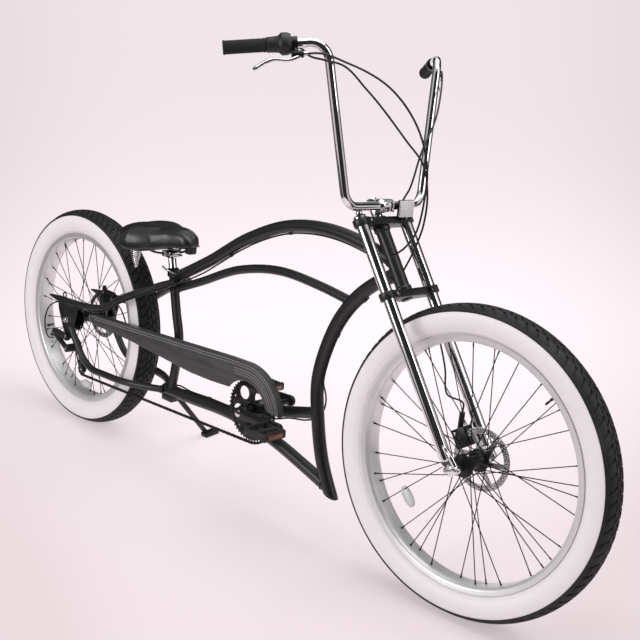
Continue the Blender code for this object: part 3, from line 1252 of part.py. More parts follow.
under_top = alongside(top_tube_path, -(TOP_TUBE_RADIUS + cable_lift), 4, 11)
shift_keys = [
    on_frame(-0.060, -0.1000, 0.2900), on_frame(-0.090, -0.1000, 0.2850), on_frame(-0.114, -0.1000, 0.330),
    on_frame(-0.095, -0.1000, 0.385), on_frame(-0.040, -0.0990, 0.420), on_frame(0.030, -0.0990, 0.424),
] + beside_stay(UPPER_STAY, -1.0, 2, 14, Vector((0.0, -0.5, -0.87))) + [
    on_frame(0.500, -0.0400, 0.5880), on_frame(0.560, -0.0260, 0.6150),
]
shift_run = tube("shift_run", smooth_path(shift_keys + under_top, 1), CABLE_RADIUS, 6)
hang(shift_run, "cable_run_shift", "cable_housing", bicycle)

down_front = alongside(down_tube_path, DOWN_TUBE_RADIUS + cable_lift, 3, 10)
over_boom = alongside(boom_path, BOOM_RADIUS + cable_lift, 2, 4)
brake_keys = down_front + [
    on_frame(1.130, 0.0130, 0.410), on_frame(1.124, 0.0220, 0.385), on_frame(1.108, 0.0255, 0.345),
    on_frame(1.070, 0.0205, 0.318),
    on_frame(1.000, 0.010, 0.304), on_frame(0.935, 0.018, 0.280), on_frame(0.880, 0.020, 0.2680),
] + over_boom[::-1] + [
    on_frame(0.500, 0.0120, 0.2570), on_frame(0.474, 0.0200, 0.2500), on_frame(0.430, 0.031, 0.2515),
] + beside_stay(LOWER_STAY, 1.0, 8, 13, Vector((0.0, 0.0, 1.0)))[::-1] + [
    on_frame(0.165, 0.079, 0.280),
    on_frame(0.130, 0.070, 0.345), on_frame(0.098, 0.063, 0.405), on_frame(0.052, 0.062, 0.4330),
]
brake_run = tube("brake_run", smooth_path(brake_keys, 1), CABLE_RADIUS, 6)
hang(brake_run, "cable_run_brake", "cable_housing", bicycle)

head_side = HEAD_TUBE_RADIUS + 0.0035 + cable_lift
rear_brake_loop = [lever_ends["right"] + bar_direction * mirror_y * out for out in (GAP, 0.020)] + [straightened(key) for key in (
    (1.2889, -0.1757, 1.2981), (1.3298, -0.1514, 1.2816), (1.3633, -0.1271, 1.2605), (1.4252, -0.0786, 1.1788),
    (1.4470, -0.0400, 1.0478), (1.4423, -0.0360, 1.0035), (1.4193, -0.0340, 0.9043), (1.3880, -0.0300, 0.8690),
    (1.3500, -head_side, 0.8420),
)]
hang(tube("rear_brake_loop", smooth_path(rear_brake_loop, 2), CABLE_RADIUS, 6), "cable_rear_brake",
     "cable_housing", steering)
shift_loop = [shifter_end + bar_direction * mirror_y * out for out in (0.0, 0.020)] + [
    *(head_step + Vector(key) for key in (
        (1.2050, -0.2490, 1.2980), (1.2420, -0.2360, 1.2920), (1.2680, -0.2050, 1.2860))),
] + [straightened(key) for key in (
    (1.3130, -0.1320, 1.2420), (1.3905, -0.0640, 1.1326), (1.4260, -0.0330, 1.0773),
    (1.4409, -0.0271, 1.0181), (1.4355, -0.0214, 0.9375), (1.4086, -0.0157, 0.8662), (1.3770, -0.0080, 0.8110),
)]
hang(tube("shift_loop", smooth_path(shift_loop, 2), CABLE_RADIUS, 6), "cable_shift", "cable_housing", steering)
front_brake_loop = [lever_ends["left"] + bar_direction * out for out in (GAP, 0.020)] + [
    *(head_step + Vector(key) for key in ((1.300, 0.150, 1.180), (1.325, 0.070, 1.090), (1.325, 0.045, 1.010))),
    steering_point(UPPER_CROWN_HEIGHT + 0.020, 0.050, 0.036), steering_point(UPPER_CROWN_HEIGHT - 0.035, 0.054, 0.036),
    steering_point(LOWER_CROWN_HEIGHT + 0.0784, 0.058, 0.040),
    steering_point(LOWER_CROWN_HEIGHT, 0.062, 0.036), steering_point(LOWER_CROWN_HEIGHT - 0.1016, 0.065, 0.010), steering_point(0.240, 0.065, -0.010),
    steering_point(0.180, 0.062, -0.028),
] + [front_caliper_at + Vector((-0.016, 0.060, 0.060 + rise)) for rise in (0.020, GAP)]
hang(tube("front_brake_loop", smooth_path(front_brake_loop, 2), CABLE_RADIUS, 6), "cable_front_brake",
     "cable_housing", steering)


# Parked stance: steering turned, bicycle leaning on its stand, box centred over the origin on the floor

steering.matrix_basis = design_place["steering"] @ Matrix.Rotation(STEER, 4, "Z")
bicycle.matrix_basis = Matrix.Rotation(-LEAN, 4, "X")
bpy.context.view_layer.update()
depsgraph = bpy.context.evaluated_depsgraph_get()
low = Vector((math.inf,) * 3)
high = Vector((-math.inf,) * 3)
for piece in bicycle_collection.objects:
    if piece.type in {"MESH", "CURVE"}:
        evaluated = piece.evaluated_get(depsgraph)
        for vertex in evaluated.to_mesh().vertices:
            place = piece.matrix_world @ vertex.co
            low = Vector(map(min, low, place))
            high = Vector(map(max, high, place))
        evaluated.to_mesh_clear()
middle = (low + high) / 2
bicycle.matrix_basis = Matrix.Translation((-middle.x, -middle.y, -low.z)) @ Matrix.Rotation(-LEAN, 4, "X")
bpy.context.view_layer.update()
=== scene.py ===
"""The look of the stretched chopper bicycle: finer pieces, finishes, floor, lamps and camera.

Pieces are drawn as the bicycle stands upright and steered straight, X forward, Y to the rider's left,
Z up, with the floor under the rear axle as zero, and then follow the parked bicycle's lean and steering.
"""

import json
import math

import bpy
from mathutils import Matrix, Vector


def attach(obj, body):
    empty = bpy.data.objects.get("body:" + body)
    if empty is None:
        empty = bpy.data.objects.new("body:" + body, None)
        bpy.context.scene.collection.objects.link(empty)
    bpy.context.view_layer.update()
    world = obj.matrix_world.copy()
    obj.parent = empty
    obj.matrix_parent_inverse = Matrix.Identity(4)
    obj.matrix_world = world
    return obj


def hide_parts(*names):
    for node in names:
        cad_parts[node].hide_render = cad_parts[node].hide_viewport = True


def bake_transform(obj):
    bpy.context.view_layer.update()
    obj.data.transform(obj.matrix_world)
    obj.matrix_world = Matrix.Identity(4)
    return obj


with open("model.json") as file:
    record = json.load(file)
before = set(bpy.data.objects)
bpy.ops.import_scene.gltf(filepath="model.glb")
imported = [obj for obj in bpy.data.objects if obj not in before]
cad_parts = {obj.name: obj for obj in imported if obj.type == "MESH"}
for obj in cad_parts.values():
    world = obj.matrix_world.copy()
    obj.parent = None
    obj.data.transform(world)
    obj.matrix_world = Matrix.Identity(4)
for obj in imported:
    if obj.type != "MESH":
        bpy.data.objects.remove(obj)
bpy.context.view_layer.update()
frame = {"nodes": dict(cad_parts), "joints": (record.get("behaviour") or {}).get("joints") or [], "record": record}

FULL_TURN = 2 * math.pi
FLOOR_GLOW = 1.62
FLOOR_GLOW_SHARE = 0.35
joints = {joint["name"]: joint for joint in frame["joints"]}

# Where the bicycle stands: its lean comes from the rear axle, its steering turns round the head tube
STEER = math.radians(4.3)
REAR_AXLE = Vector((0.0, 0.0, 0.3655))
rear_hub_at = Vector(joints["rear_wheel_spin"]["pos_m"])
axle_way = Vector(joints["rear_wheel_spin"]["axis"])
LEAN = -math.atan2(axle_way.z, axle_way.y)
BIKE = Matrix.Translation(rear_hub_at) @ Matrix.Rotation(-LEAN, 4, "X") @ Matrix.Translation(-REAR_AXLE)
head_at = Vector(joints["steering"]["pos_m"])
head_way = Vector(joints["steering"]["axis"])
FORK = (Matrix.Translation(head_at) @ Matrix.Rotation(STEER, 4, head_way)
        @ Matrix.Translation(-head_at) @ BIKE)
STAND_STILL = Matrix.Identity(4)


# Finishes


class Field:
    """A number that varies over a surface and takes part in ordinary sums."""

    def __init__(self, finish, socket):
        self.finish = finish
        self.socket = socket

    def combine(self, operation, first, second):
        node = self.finish.node("ShaderNodeMath", {"operation": operation}, {0: first, 1: second})
        return Field(self.finish, node.outputs[0])

    def __add__(self, other):
        return self.combine("ADD", self, other)

    def __radd__(self, other):
        return self.combine("ADD", other, self)

    def __sub__(self, other):
        return self.combine("SUBTRACT", self, other)

    def __rsub__(self, other):
        return self.combine("SUBTRACT", other, self)

    def __mul__(self, other):
        return self.combine("MULTIPLY", self, other)

    def __rmul__(self, other):
        return self.combine("MULTIPLY", other, self)

    def __truediv__(self, other):
        return self.combine("DIVIDE", self, other)

    def wave(self):
        return self.combine("SINE", self, 0.0)


class Finish:
    """One surface finish: a Principled shader and the nodes that vary it."""

    def __init__(self, name, colour, roughness, metallic=0.0, **constants):
        self.material = bpy.data.materials.new(name)
        self.material.use_nodes = True
        self.tree = self.material.node_tree
        self.shader = self.tree.nodes["Principled BSDF"]
        self.feed(self.shader, {"Base Color": (*colour, 1.0), "Roughness": roughness, "Metallic": metallic})
        self.feed(self.shader, {name.replace("_", " "): value for name, value in constants.items()})
        self.colour = (*colour, 1.0)
        self.place = self.node("ShaderNodeTexCoord").outputs["Object"]

    def feed(self, node, values):
        for name, value in values.items():
            value = value.socket if isinstance(value, Field) else value
            if isinstance(value, bpy.types.NodeSocket):
                self.tree.links.new(value, node.inputs[name])
            else:
                node.inputs[name].default_value = value

    def node(self, kind, settings=None, values=None):
        made = self.tree.nodes.new(kind)
        for name, value in (settings or {}).items():
            setattr(made, name, value)
        self.feed(made, values or {})
        return made

    def noise(self, scale, detail=2.0, place=None):
        made = self.node("ShaderNodeTexNoise", {},
            {"Vector": place or self.place, "Scale": scale, "Detail": detail})
        return Field(self, made.outputs[0])

    def cells(self, scale, output="Distance"):
        made = self.node("ShaderNodeTexVoronoi", {}, {"Vector": self.place, "Scale": scale})
        return Field(self, made.outputs[output])

    def stretched(self, scale):
        made = self.node("ShaderNodeMapping", {}, {"Vector": self.place, "Scale": scale})
        return made.outputs[0]

    def step(self, field, low, high):
        """0 below low, 1 above high and a soft step between."""
        made = self.node("ShaderNodeMapRange", {"interpolation_type": "SMOOTHSTEP"},
                         {"Value": field, "From Min": low, "From Max": high})
        return Field(self, made.outputs[0])

    def tint(self, mask, colour, start=None):
        """Blends the base colour towards another where the mask is 1."""
        made = self.node("ShaderNodeMix", {"data_type": "RGBA"},
                         {0: mask, 6: start or self.colour, 7: (*colour, 1.0)})
        self.feed(self.shader, {"Base Color": made.outputs[2]})
        return made.outputs[2]

    def roughness(self, field):
        self.feed(self.shader, {"Roughness": field})

    def bump(self, height, distance, strength=1.0):
        made = self.node("ShaderNodeBump", {}, {"Height": height, "Distance": distance, "Strength": strength})
        self.feed(self.shader, {"Normal": made.outputs[0]})

    def wheel_radius(self, centre, axle):
        """The distance from a wheel's axle line."""
        offset = self.node("ShaderNodeVectorMath", {"operation": "SUBTRACT"}, {0: self.place, 1: centre})
        across = self.node("ShaderNodeVectorMath", {"operation": "CROSS_PRODUCT"},
            {0: offset.outputs[0], 1: axle})
        length = self.node("ShaderNodeVectorMath", {"operation": "LENGTH"}, {0: across.outputs[0]})
        return Field(self, length.outputs["Value"])


def painted_steel():
    """Matt black powder coat: a fine even tooth and a few dusty patches."""
    paint = Finish("matt black paint", (0.013, 0.0125, 0.013), 0.36, Specular_IOR_Level=0.55)
    grain = paint.noise(1900.0, 2.0)
    cloud = paint.noise(9.0, 3.0)
    paint.tint(paint.step(cloud, 0.45, 0.80) * 0.30, (0.028, 0.027, 0.028))
    paint.roughness(0.26 + cloud * 0.14 + grain * 0.04)
    paint.bump(grain, 0.00006, 0.35)
    return paint.material


def chrome_plate():
    """Polished chrome with faint finger smears and hairline marks."""
    plate = Finish("polished chrome", (0.86, 0.86, 0.88), 0.05, 1.0)
    smear = plate.noise(14.0, 4.0)
    hair = plate.noise(60.0, 2.0, plate.stretched((1.0, 1.0, 14.0)))
    plate.tint(plate.step(smear, 0.52, 0.75) * 0.30, (0.70, 0.70, 0.73))
    plate.roughness(0.035 + plate.step(smear, 0.40, 0.80) * 0.08 + hair * 0.02)
    return plate.material


def black_alloy():
    """Anodised alloy, satin black, a little worn to grey where it is handled."""
    alloy = Finish("black anodised alloy", (0.016, 0.016, 0.018), 0.32, 0.55)
    grain = alloy.noise(900.0, 2.0)
    wear = alloy.noise(70.0, 4.0)
    alloy.tint(alloy.step(wear, 0.62, 0.80) * 0.5, (0.085, 0.085, 0.09))
    alloy.roughness(0.26 + wear * 0.16)
    alloy.bump(grain, 0.00004, 0.3)
    return alloy.material


def rim_alloy(name, centre, axle):
    """Bright alloy rim, turned round the axle, with pale streaks along the turning."""
    alloy = Finish(name, (0.80, 0.79, 0.80), 0.34, 0.55)
    radius = alloy.wheel_radius(centre, axle)
    turning = (radius * 9000.0).wave()
    cloud = alloy.noise(11.0, 4.0)
    alloy.tint(alloy.step(cloud, 0.40, 0.75) * 0.45, (0.60, 0.59, 0.61))
    alloy.roughness(0.26 + cloud * 0.20)
    alloy.bump(turning * 0.5 + 0.5, 0.00002, 0.25)
    return alloy.material


def brushed_disc(name, centre, axle):
    """Disc steel, ground in rings, slightly darker where the pads run."""
    steel = Finish(name, (0.60, 0.60, 0.62), 0.28, 1.0)
    radius = steel.wheel_radius(centre, axle)
    rings = (radius * 14000.0).wave()
    swept = steel.step(radius, 0.064, 0.068)
    steel.tint(swept * 0.6, (0.42, 0.42, 0.44))
    steel.roughness(0.34 - swept * 0.10 + steel.noise(40.0) * 0.05)
    steel.bump(rings * 0.5 + 0.5, 0.00002, 0.3)
    return steel.material


def spoke_black():
    coat = Finish("black spoke coat", (0.012, 0.012, 0.013), 0.34, 0.45)
    cloud = coat.noise(45.0, 3.0)
    coat.tint(coat.step(cloud, 0.60, 0.80) * 0.6, (0.05, 0.05, 0.052))
    coat.roughness(0.30 + cloud * 0.14)
    return coat.material


def tread_rubber(name, centre, axle, radius):
    """Black tyre rubber: dull, pebbled, greyer on the running blocks and in the dusty corners."""
    rubber = Finish(name, (0.014, 0.0135, 0.014), 0.62, Specular_IOR_Level=0.35)
    pebble = rubber.noise(1400.0, 3.0)
    dust = rubber.noise(16.0, 4.0)
    crown = rubber.step(rubber.wheel_radius(centre, axle), radius - 0.004, radius - 0.0005)
    rubber.tint(rubber.step(dust, 0.42, 0.80) * 0.45 + crown * 0.12, (0.055, 0.052, 0.053))
    rubber.roughness(0.55 + pebble * 0.20)
    rubber.bump(pebble, 0.00012, 0.5)
    return rubber.material


def white_rubber(name, centre, axle, rim_radius):
    """White sidewall: moulded rings near the rim, patches of grey dust, and a grey band toward the tread."""
    rubber = Finish(name, (0.96, 0.91, 0.93), 0.46, Specular_IOR_Level=0.4)
    radius = rubber.wheel_radius(centre, axle)
    rings = (radius * 2600.0).wave() * (1.0 - rubber.step(radius, rim_radius + 0.010, rim_radius + 0.014))
    dust = rubber.noise(22.0, 4.0)
    grain = rubber.noise(900.0, 2.0)
    grey = rubber.step(dust, 0.50, 0.85) * 0.25 + rubber.step(radius, rim_radius + 0.046, rim_radius + 0.056) * 0.18
    rubber.tint(grey, (0.76, 0.72, 0.74))
    rubber.roughness(0.44 + dust * 0.14)
    rubber.bump(rings * 0.5 + grain * 0.25, 0.00016, 0.5)
    return rubber.material


def grip_rubber():
    rubber = Finish("grip rubber", (0.017, 0.017, 0.018), 0.68, Specular_IOR_Level=0.3)
    pebble = rubber.cells(1100.0)
    rubber.tint(rubber.step(rubber.noise(60.0, 3.0), 0.50, 0.75) * 0.4, (0.040, 0.039, 0.040))
    rubber.roughness(0.60 + pebble * 0.20)
    rubber.bump(pebble, 0.00015, 0.5)
    return rubber.material


def saddle_vinyl():
    """Black vinyl with a fine leather grain, and lighter patches of painted sheen that also vary its gloss."""
    vinyl = Finish("saddle vinyl", (0.011, 0.0105, 0.011), 0.30, Coat_Weight=0.35, Coat_Roughness=0.32)
    grain = vinyl.cells(620.0)
    crease = vinyl.noise(150.0, 4.0)
    sheen = vinyl.noise(18.0, 3.0)
    # Painted sheen: lighter patches in the colour stand for soft highlights on the vinyl
    vinyl.tint(vinyl.step(sheen, 0.48, 0.78) * 0.40, (0.032, 0.031, 0.033))
    vinyl.roughness(0.24 + sheen * 0.14 + grain * 0.08)
    vinyl.bump(grain * 0.7 + crease * 0.5, 0.00018, 0.45)
    return vinyl.material


def moulded_plastic(name, colour, lighter, roughness=0.45):
    """Moulded plastic with a spark-eroded texture and faint flow shading."""
    plastic = Finish(name, colour, roughness, Specular_IOR_Level=0.45)
    grain = plastic.noise(1300.0, 3.0)
    flow = plastic.noise(12.0, 2.0, plastic.stretched((1.0, 1.0, 3.0)))
    plastic.tint(plastic.step(flow, 0.42, 0.78) * 0.5, lighter)
    plastic.roughness(roughness - 0.05 + flow * 0.12 + grain * 0.04)
    plastic.bump(grain, 0.00008, 0.4)
    return plastic.material


def oiled_steel():
    """Chain steel: dark, oily, with bright worn spots."""
    steel = Finish("oiled chain steel", (0.022, 0.021, 0.020), 0.36, 0.80)
    grime = steel.noise(130.0, 4.0)
    steel.tint(steel.step(grime, 0.58, 0.78) * 0.7, (0.16, 0.155, 0.15))
    steel.roughness(0.28 + grime * 0.24)
    return steel.material


def cable_sheath():
    sheath = Finish("black cable sheath", (0.010, 0.010, 0.011), 0.34)
    cloud = sheath.noise(35.0, 2.0)
    sheath.tint(sheath.step(cloud, 0.55, 0.80) * 0.5, (0.030, 0.030, 0.031))
    sheath.roughness(0.30 + cloud * 0.15)
    return sheath.material


def prism_plastic(name, colour, clear):
    """Reflector plastic: glossy, with a grid of small prisms under the face."""
    plastic = Finish(name, colour, 0.12, Transmission_Weight=clear, Coat_Weight=0.3)
    prisms = plastic.cells(420.0)
    plastic.tint(plastic.step(prisms, 0.25, 0.60) * 0.5, tuple(0.62 * part for part in colour))
    plastic.roughness(0.10 + prisms * 0.12)
    plastic.bump(prisms, 0.0004, 0.6)
    return plastic.material


front_hub_at = Vector(joints["front_wheel_spin"]["pos_m"])
front_axle_way = Vector(joints["front_wheel_spin"]["axis"])
GREY_LIFT = (0.085, 0.082, 0.085)
FINISHES = {
    "black_paint": painted_steel(),
    "chrome": chrome_plate(),
    "black_alloy": black_alloy(),
    "spoke_black": spoke_black(),
    "grip_rubber": grip_rubber(),
    "saddle_vinyl": saddle_vinyl(),
    "black_plastic": moulded_plastic("black moulded plastic", (0.014, 0.014, 0.015), (0.030, 0.030, 0.031)),
    "guard_plastic": moulded_plastic("chain guard plastic", (0.052, 0.050, 0.052), GREY_LIFT, 0.36),
    "chain_steel": oiled_steel(),
    "cable_housing": cable_sheath(),
    "clear_reflector": prism_plastic("clear reflector", (0.93, 0.93, 0.94), 0.15),
    # Painted highlight: the guard's ridges are the same plastic as its skin, drawn much lighter to stand for the light
    # along them
    "guard_edge": moulded_plastic("chain guard ridge painted highlight", (0.20, 0.195, 0.20), (0.26, 0.25, 0.26), 0.34),
    "amber_reflector": prism_plastic("amber reflector", (0.24, 0.065, 0.020), 0.05),
    "red_reflector": prism_plastic("red reflector", (0.45, 0.012, 0.012), 0.10),
}
WHEEL_FINISHES = {
    "front": {
        "rim_silver": rim_alloy("front rim alloy", front_hub_at, front_axle_way),
        "rotor_steel": brushed_disc("front disc steel", front_hub_at, front_axle_way),
        "tyre_black": tread_rubber("front tread rubber", front_hub_at, front_axle_way, 0.3881),
        "whitewall": white_rubber("front white rubber", front_hub_at, front_axle_way, 0.317),
    },
    "rear": {
        "rim_silver": rim_alloy("rear rim alloy", rear_hub_at, axle_way),
        "rotor_steel": brushed_disc("rear disc steel", rear_hub_at, axle_way),
        "tyre_black": tread_rubber("rear tread rubber", rear_hub_at, axle_way, 0.3647),
        "whitewall": white_rubber("rear white rubber", rear_hub_at, axle_way, 0.2885),
    },
}


def finish_for(slot, node=""):
    if slot in FINISHES:
        return FINISHES[slot]
    return WHEEL_FINISHES["front" if node.startswith("front") else "rear"][slot]


for entry in frame["record"]["subparts"]:
    cad = frame["nodes"][entry["node"]]
    cad.data.materials.clear()
    cad.data.materials.append(finish_for(entry["material_slot"], entry["node"]))


# Making pieces


def begin(make, name, **settings):
    """Adds a primitive with nothing else selected."""
    bpy.ops.object.select_all(action="DESELECT")
    make(**settings)
    piece = bpy.context.object
    piece.name = name
    return piece


def only(piece):
    bpy.ops.object.select_all(action="DESELECT")
    piece.select_set(True)
    bpy.context.view_layer.objects.active = piece
    return piece


def edit(piece, everything=True):
    only(piece)
    bpy.ops.object.mode_set(mode="EDIT")
    bpy.ops.mesh.select_all(action="SELECT" if everything else "DESELECT")


def leave_edit():
    bpy.ops.object.mode_set(mode="OBJECT")


def apply_modifiers(piece):
    only(piece)
    for modifier in list(piece.modifiers):
        bpy.ops.object.modifier_apply(modifier=modifier.name)
    return piece


def bevelled(piece, width, segments=2, angle=math.radians(30)):
    """Rounds the sharp edges and shades the rest smooth."""
    modifier = piece.modifiers.new("round edges", "BEVEL")
    modifier.width = width
    modifier.segments = segments
    modifier.limit_method = "ANGLE"
    modifier.angle_limit = angle
    apply_modifiers(piece)
    return smoothed(piece)


def smoothed(piece, angle=math.radians(35)):
    only(piece)
    bpy.ops.object.shade_smooth_by_angle(angle=angle)
    return piece


def settle(piece, place, body, slot, replaces=(), wheel=""):
    """Puts a finished piece where the parked bicycle has it, with finish, body and what it stands for."""
    only(piece)
    bpy.ops.object.transform_apply(location=True, rotation=True, scale=True)
    piece.data.transform(place)
    piece.data.materials.clear()
    piece.data.materials.append(finish_for(slot, wheel))
    if body:
        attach(piece, body)
    if replaces:
        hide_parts(*replaces)
    return piece


def joined(pieces, name):
    """Joins finished pieces of one finish into a single mesh."""
    bpy.ops.object.select_all(action="DESELECT")
    for piece in pieces:
        piece.select_set(True)
    bpy.context.view_layer.objects.active = pieces[0]
    bpy.ops.object.join()
    pieces[0].name = name
    return pieces[0]


def repeated(template, places, name):
    """Copies one modelled piece to many places, each with its own mesh, and joins the copies."""
    only(template)
    bpy.ops.object.transform_apply(location=True, rotation=True, scale=True)
    copies = []
    for place in places:
        copy = template.copy()
        copy.data = template.data.copy()
        copy.data.transform(place)
        bpy.context.scene.collection.objects.link(copy)
        copies.append(copy)
    bpy.data.objects.remove(template, do_unlink=True)
    return joined(copies, name)


def turned(name, profile, steps=32, closed=False):
    """Spins a drawn profile of (radius, height) points round Z."""
    piece = begin(bpy.ops.mesh.primitive_plane_add, name, size=0.01)
    edit(piece)
    bpy.ops.mesh.merge(type="CENTER")
    bpy.ops.transform.translate(value=(profile[0][0], 0.0, profile[0][1]))
    for (radius, height), (next_radius, next_height) in zip(profile, profile[1:]):
        bpy.ops.mesh.extrude_region_move(
            TRANSFORM_OT_translate={"value": (next_radius - radius, 0.0, next_height - height)})
    if closed:
        bpy.ops.mesh.extrude_region_move(
            TRANSFORM_OT_translate={"value": (profile[0][0] - profile[-1][0], 0.0,
                profile[0][1] - profile[-1][1])})
    bpy.ops.mesh.select_all(action="SELECT")
    bpy.ops.mesh.spin(steps=steps, angle=FULL_TURN, center=(0, 0, 0), axis=(0, 0, 1))
    bpy.ops.mesh.select_all(action="SELECT")
    bpy.ops.mesh.remove_doubles(threshold=0.00001)
    bpy.ops.mesh.normals_make_consistent(inside=False)
    leave_edit()
    return smoothed(piece)


def tube(name, points, radius, sides=16, radii=None, closed=False):
    """A round tube along points, with closed ends."""
    piece = begin(bpy.ops.curve.primitive_nurbs_path_add, name)
    data = piece.data
    data.splines.clear()
    spline = data.splines.new("POLY")
    spline.points.add(len(points) - 1)
    for index, point in enumerate(points):
        spline.points[index].co = (*point, 1.0)
        spline.points[index].radius = radii[index] if radii else 1.0
    spline.use_cyclic_u = closed
    data.bevel_depth = radius
    data.bevel_resolution = (sides - 4) // 2
    data.use_fill_caps = not closed
    only(piece)
    bpy.ops.object.convert(target="MESH")
    piece = bpy.context.object
    edit(piece)
    bpy.ops.mesh.remove_doubles(threshold=0.000005)
    bpy.ops.mesh.normals_make_consistent(inside=False)
    leave_edit()
    return smoothed(piece, math.radians(50))


def sheet(name, outline, thickness, holes=(), rounding=0.0):
    """A flat piece cut to an outline with holes, its edges rounded, lying in XY about its middle height."""
    piece = begin(bpy.ops.curve.primitive_bezier_circle_add, name)
    data = piece.data
    data.splines.clear()
    for loop in (outline, *holes):
        spline = data.splines.new("POLY")
        spline.points.add(len(loop) - 1)
        for point, (x, y) in zip(spline.points, loop):
            point.co = (x, y, 0.0, 1.0)
        spline.use_cyclic_u = True
    data.dimensions = "2D"
    data.fill_mode = "BOTH"
    data.extrude = thickness / 2 - rounding
    data.bevel_depth = rounding
    data.bevel_resolution = 1
    data.offset = -rounding
    only(piece)
    bpy.ops.object.convert(target="MESH")
    piece = bpy.context.object
    edit(piece)
    bpy.ops.mesh.remove_doubles(threshold=0.000005)
    bpy.ops.mesh.normals_make_consistent(inside=False)
    leave_edit()
    return smoothed(piece, math.radians(30))


def rod(name, start, end, radius, sides=24, rounding=0.0):
    """A straight pin between two points, with its rims rounded."""
    start, end = Vector(start), Vector(end)
    piece = begin(bpy.ops.mesh.primitive_cylinder_add, name, vertices=sides, radius=radius,
        depth=(end - start).length)
    if rounding:
        bevelled(piece, rounding, 2)
    piece.data.transform(aim(start, end))
    return smoothed(piece)


def edit_part(piece):
    """Edit mode on what is already selected in the mesh."""
    only(piece)
    bpy.ops.object.mode_set(mode="EDIT")


def aim(start, end):
    """Places a shape drawn along Z between two points."""
    turn = Vector((0, 0, 1)).rotation_difference(end - start).to_matrix().to_4x4()
    return Matrix.Translation((start + end) / 2) @ turn


def slab(name, centre, size, turn=None, rounding=0.001, taper=1.0):
    """A rounded block, narrowed toward its top, turned about its own middle."""
    piece = begin(bpy.ops.mesh.primitive_cube_add, name, size=1.0)
    for polygon in piece.data.polygons:
        polygon.select = polygon.normal.z > 0.9
    edit_part(piece)
    bpy.ops.transform.resize(value=(taper, taper, 1.0))
    leave_edit()
    piece.data.transform(Matrix.Diagonal((*size, 1.0)))
    bevelled(piece, rounding, 2)
    piece.data.transform(Matrix.Translation(Vector(centre)) @ (turn or STAND_STILL))
    return piece


def socket_screw(name, radius, height):
    """A cap screw seen from above: a round head with a hexagonal socket."""
    head = begin(bpy.ops.mesh.primitive_cylinder_add, name, vertices=24, radius=radius, depth=height)
    for polygon in head.data.polygons:
        polygon.select = polygon.normal.z > 0.9
    edit_part(head)
    bpy.ops.mesh.inset(thickness=radius * 0.42)
    bpy.ops.transform.translate(value=(0.0, 0.0, -height * 0.55))
    leave_edit()
    return bevelled(head, radius * 0.10, 2)


def facing(point, way):
    """Places a shape drawn along Z at a point, facing along a direction."""
    turn = Vector((0, 0, 1)).rotation_difference(Vector(way)).to_matrix().to_4x4()
    return Matrix.Translation(Vector(point)) @ turn


def smooth_path(keys, per_span=8):
    """Points on a smooth curve through unevenly spaced keys."""
    keys = [Vector(key) for key in keys]
    spans = [after - before for before, after in zip(keys, keys[1:])]
    slopes = [spans[0].normalized()]
    for span, following in zip(spans, spans[1:]):
        near, far = span.length, following.length
        slopes.append((span.normalized() * far + following.normalized() * near) / (near + far))
    slopes.append(spans[-1].normalized())
    path = []
    for index, span in enumerate(spans):
        for step in range(per_span):
            t = step / per_span
            path.append(
                keys[index] * (2 * t ** 3 - 3 * t ** 2 + 1) + keys[index + 1] * (3 * t ** 2 - 2 * t ** 3)
                + slopes[index] * span.length * (t ** 3 - 2 * t ** 2 + t)
                + slopes[index + 1] * span.length * (t ** 3 - t ** 2))
    return path + [keys[-1]]


def rounded_path(corners, radius, steps=10):
    """Straight runs between corners, with an arc at each inner corner."""
    corners = [Vector(corner) for corner in corners]
    path = [corners[0]]
    for before, corner, after in zip(corners, corners[1:], corners[2:]):
        inward, outward = (before - corner).normalized(), (after - corner).normalized()
        half_turn = inward.angle(outward) / 2
        reach = radius / math.tan(half_turn)
        centre = corner + (inward + outward).normalized() * radius / math.sin(half_turn)
        start, end = corner + inward * reach, corner + outward * reach
        path += [centre + (start - centre).slerp(end - centre, step / steps).normalized() * radius
                 for step in range(steps + 1)]
    return path + [corners[-1]]


def ring(radius, sides, centre=(0.0, 0.0), start=0.0):
    return [(centre[0] + radius * math.cos(start + FULL_TURN * step / sides),
             centre[1] + radius * math.sin(start + FULL_TURN * step / sides)) for step in range(sides)]


def side_view(y):
    """Stands a sheet drawn in (X, Z) up in the side view, at a distance from the middle plane."""
    return Matrix.Translation((0, y, 0)) @ Matrix.Rotation(math.pi / 2, 4, "X")


# Steering geometry, as the solids have it

HEAD_ANGLE = math.radians(56.5)
FORK_TRAIL_OFFSET = 0.0133
FRONT_AXLE = Vector((1.64, 0.0, 0.3875))
UP_FORK = Vector((-math.cos(HEAD_ANGLE), 0.0, math.sin(HEAD_ANGLE)))
AHEAD_OF_FORK = Vector((math.sin(HEAD_ANGLE), 0.0, math.cos(HEAD_ANGLE)))
ALONG_FORK = Matrix((
    (math.sin(HEAD_ANGLE), 0.0, -math.cos(HEAD_ANGLE), 0.0),
    (0.0, 1.0, 0.0, 0.0),
    (math.cos(HEAD_ANGLE), 0.0, math.sin(HEAD_ANGLE), 0.0),
    (0.0, 0.0, 0.0, 1.0),
))
LOWER_CROWN_HEIGHT = 0.4416
UPPER_CROWN_HEIGHT = 0.6352
CROWN_THICKNESS = 0.020
LEG_SPACING = 0.0886
LEG_RADIUS = 0.0155


def steering_point(height, y=0.0, ahead=0.0):
    return FRONT_AXLE + AHEAD_OF_FORK * (ahead - FORK_TRAIL_OFFSET) + UP_FORK * height + Vector((0, y, 0))


# Wheels: each is modelled lying down, with its axle along Z and the rider's left above, then stood up

STAND_UP = Matrix.Rotation(-math.pi / 2, 4, "X")
SPOKES_PER_FLANGE = 18
TREAD_PITCHES = 78


def on_crown(angle, across, tyre_radius, half, lift):
    """A point on the tread's running surface: across goes from -1 to 1 over the tread's width."""
    edge = abs(across)
    z = across * (half - 0.003)
    radius = tyre_radius - 0.0165 * edge ** 3.2 - 0.0022 * edge ** 1.4 + lift
    return Vector((radius * math.cos(angle), radius * math.sin(angle), z))


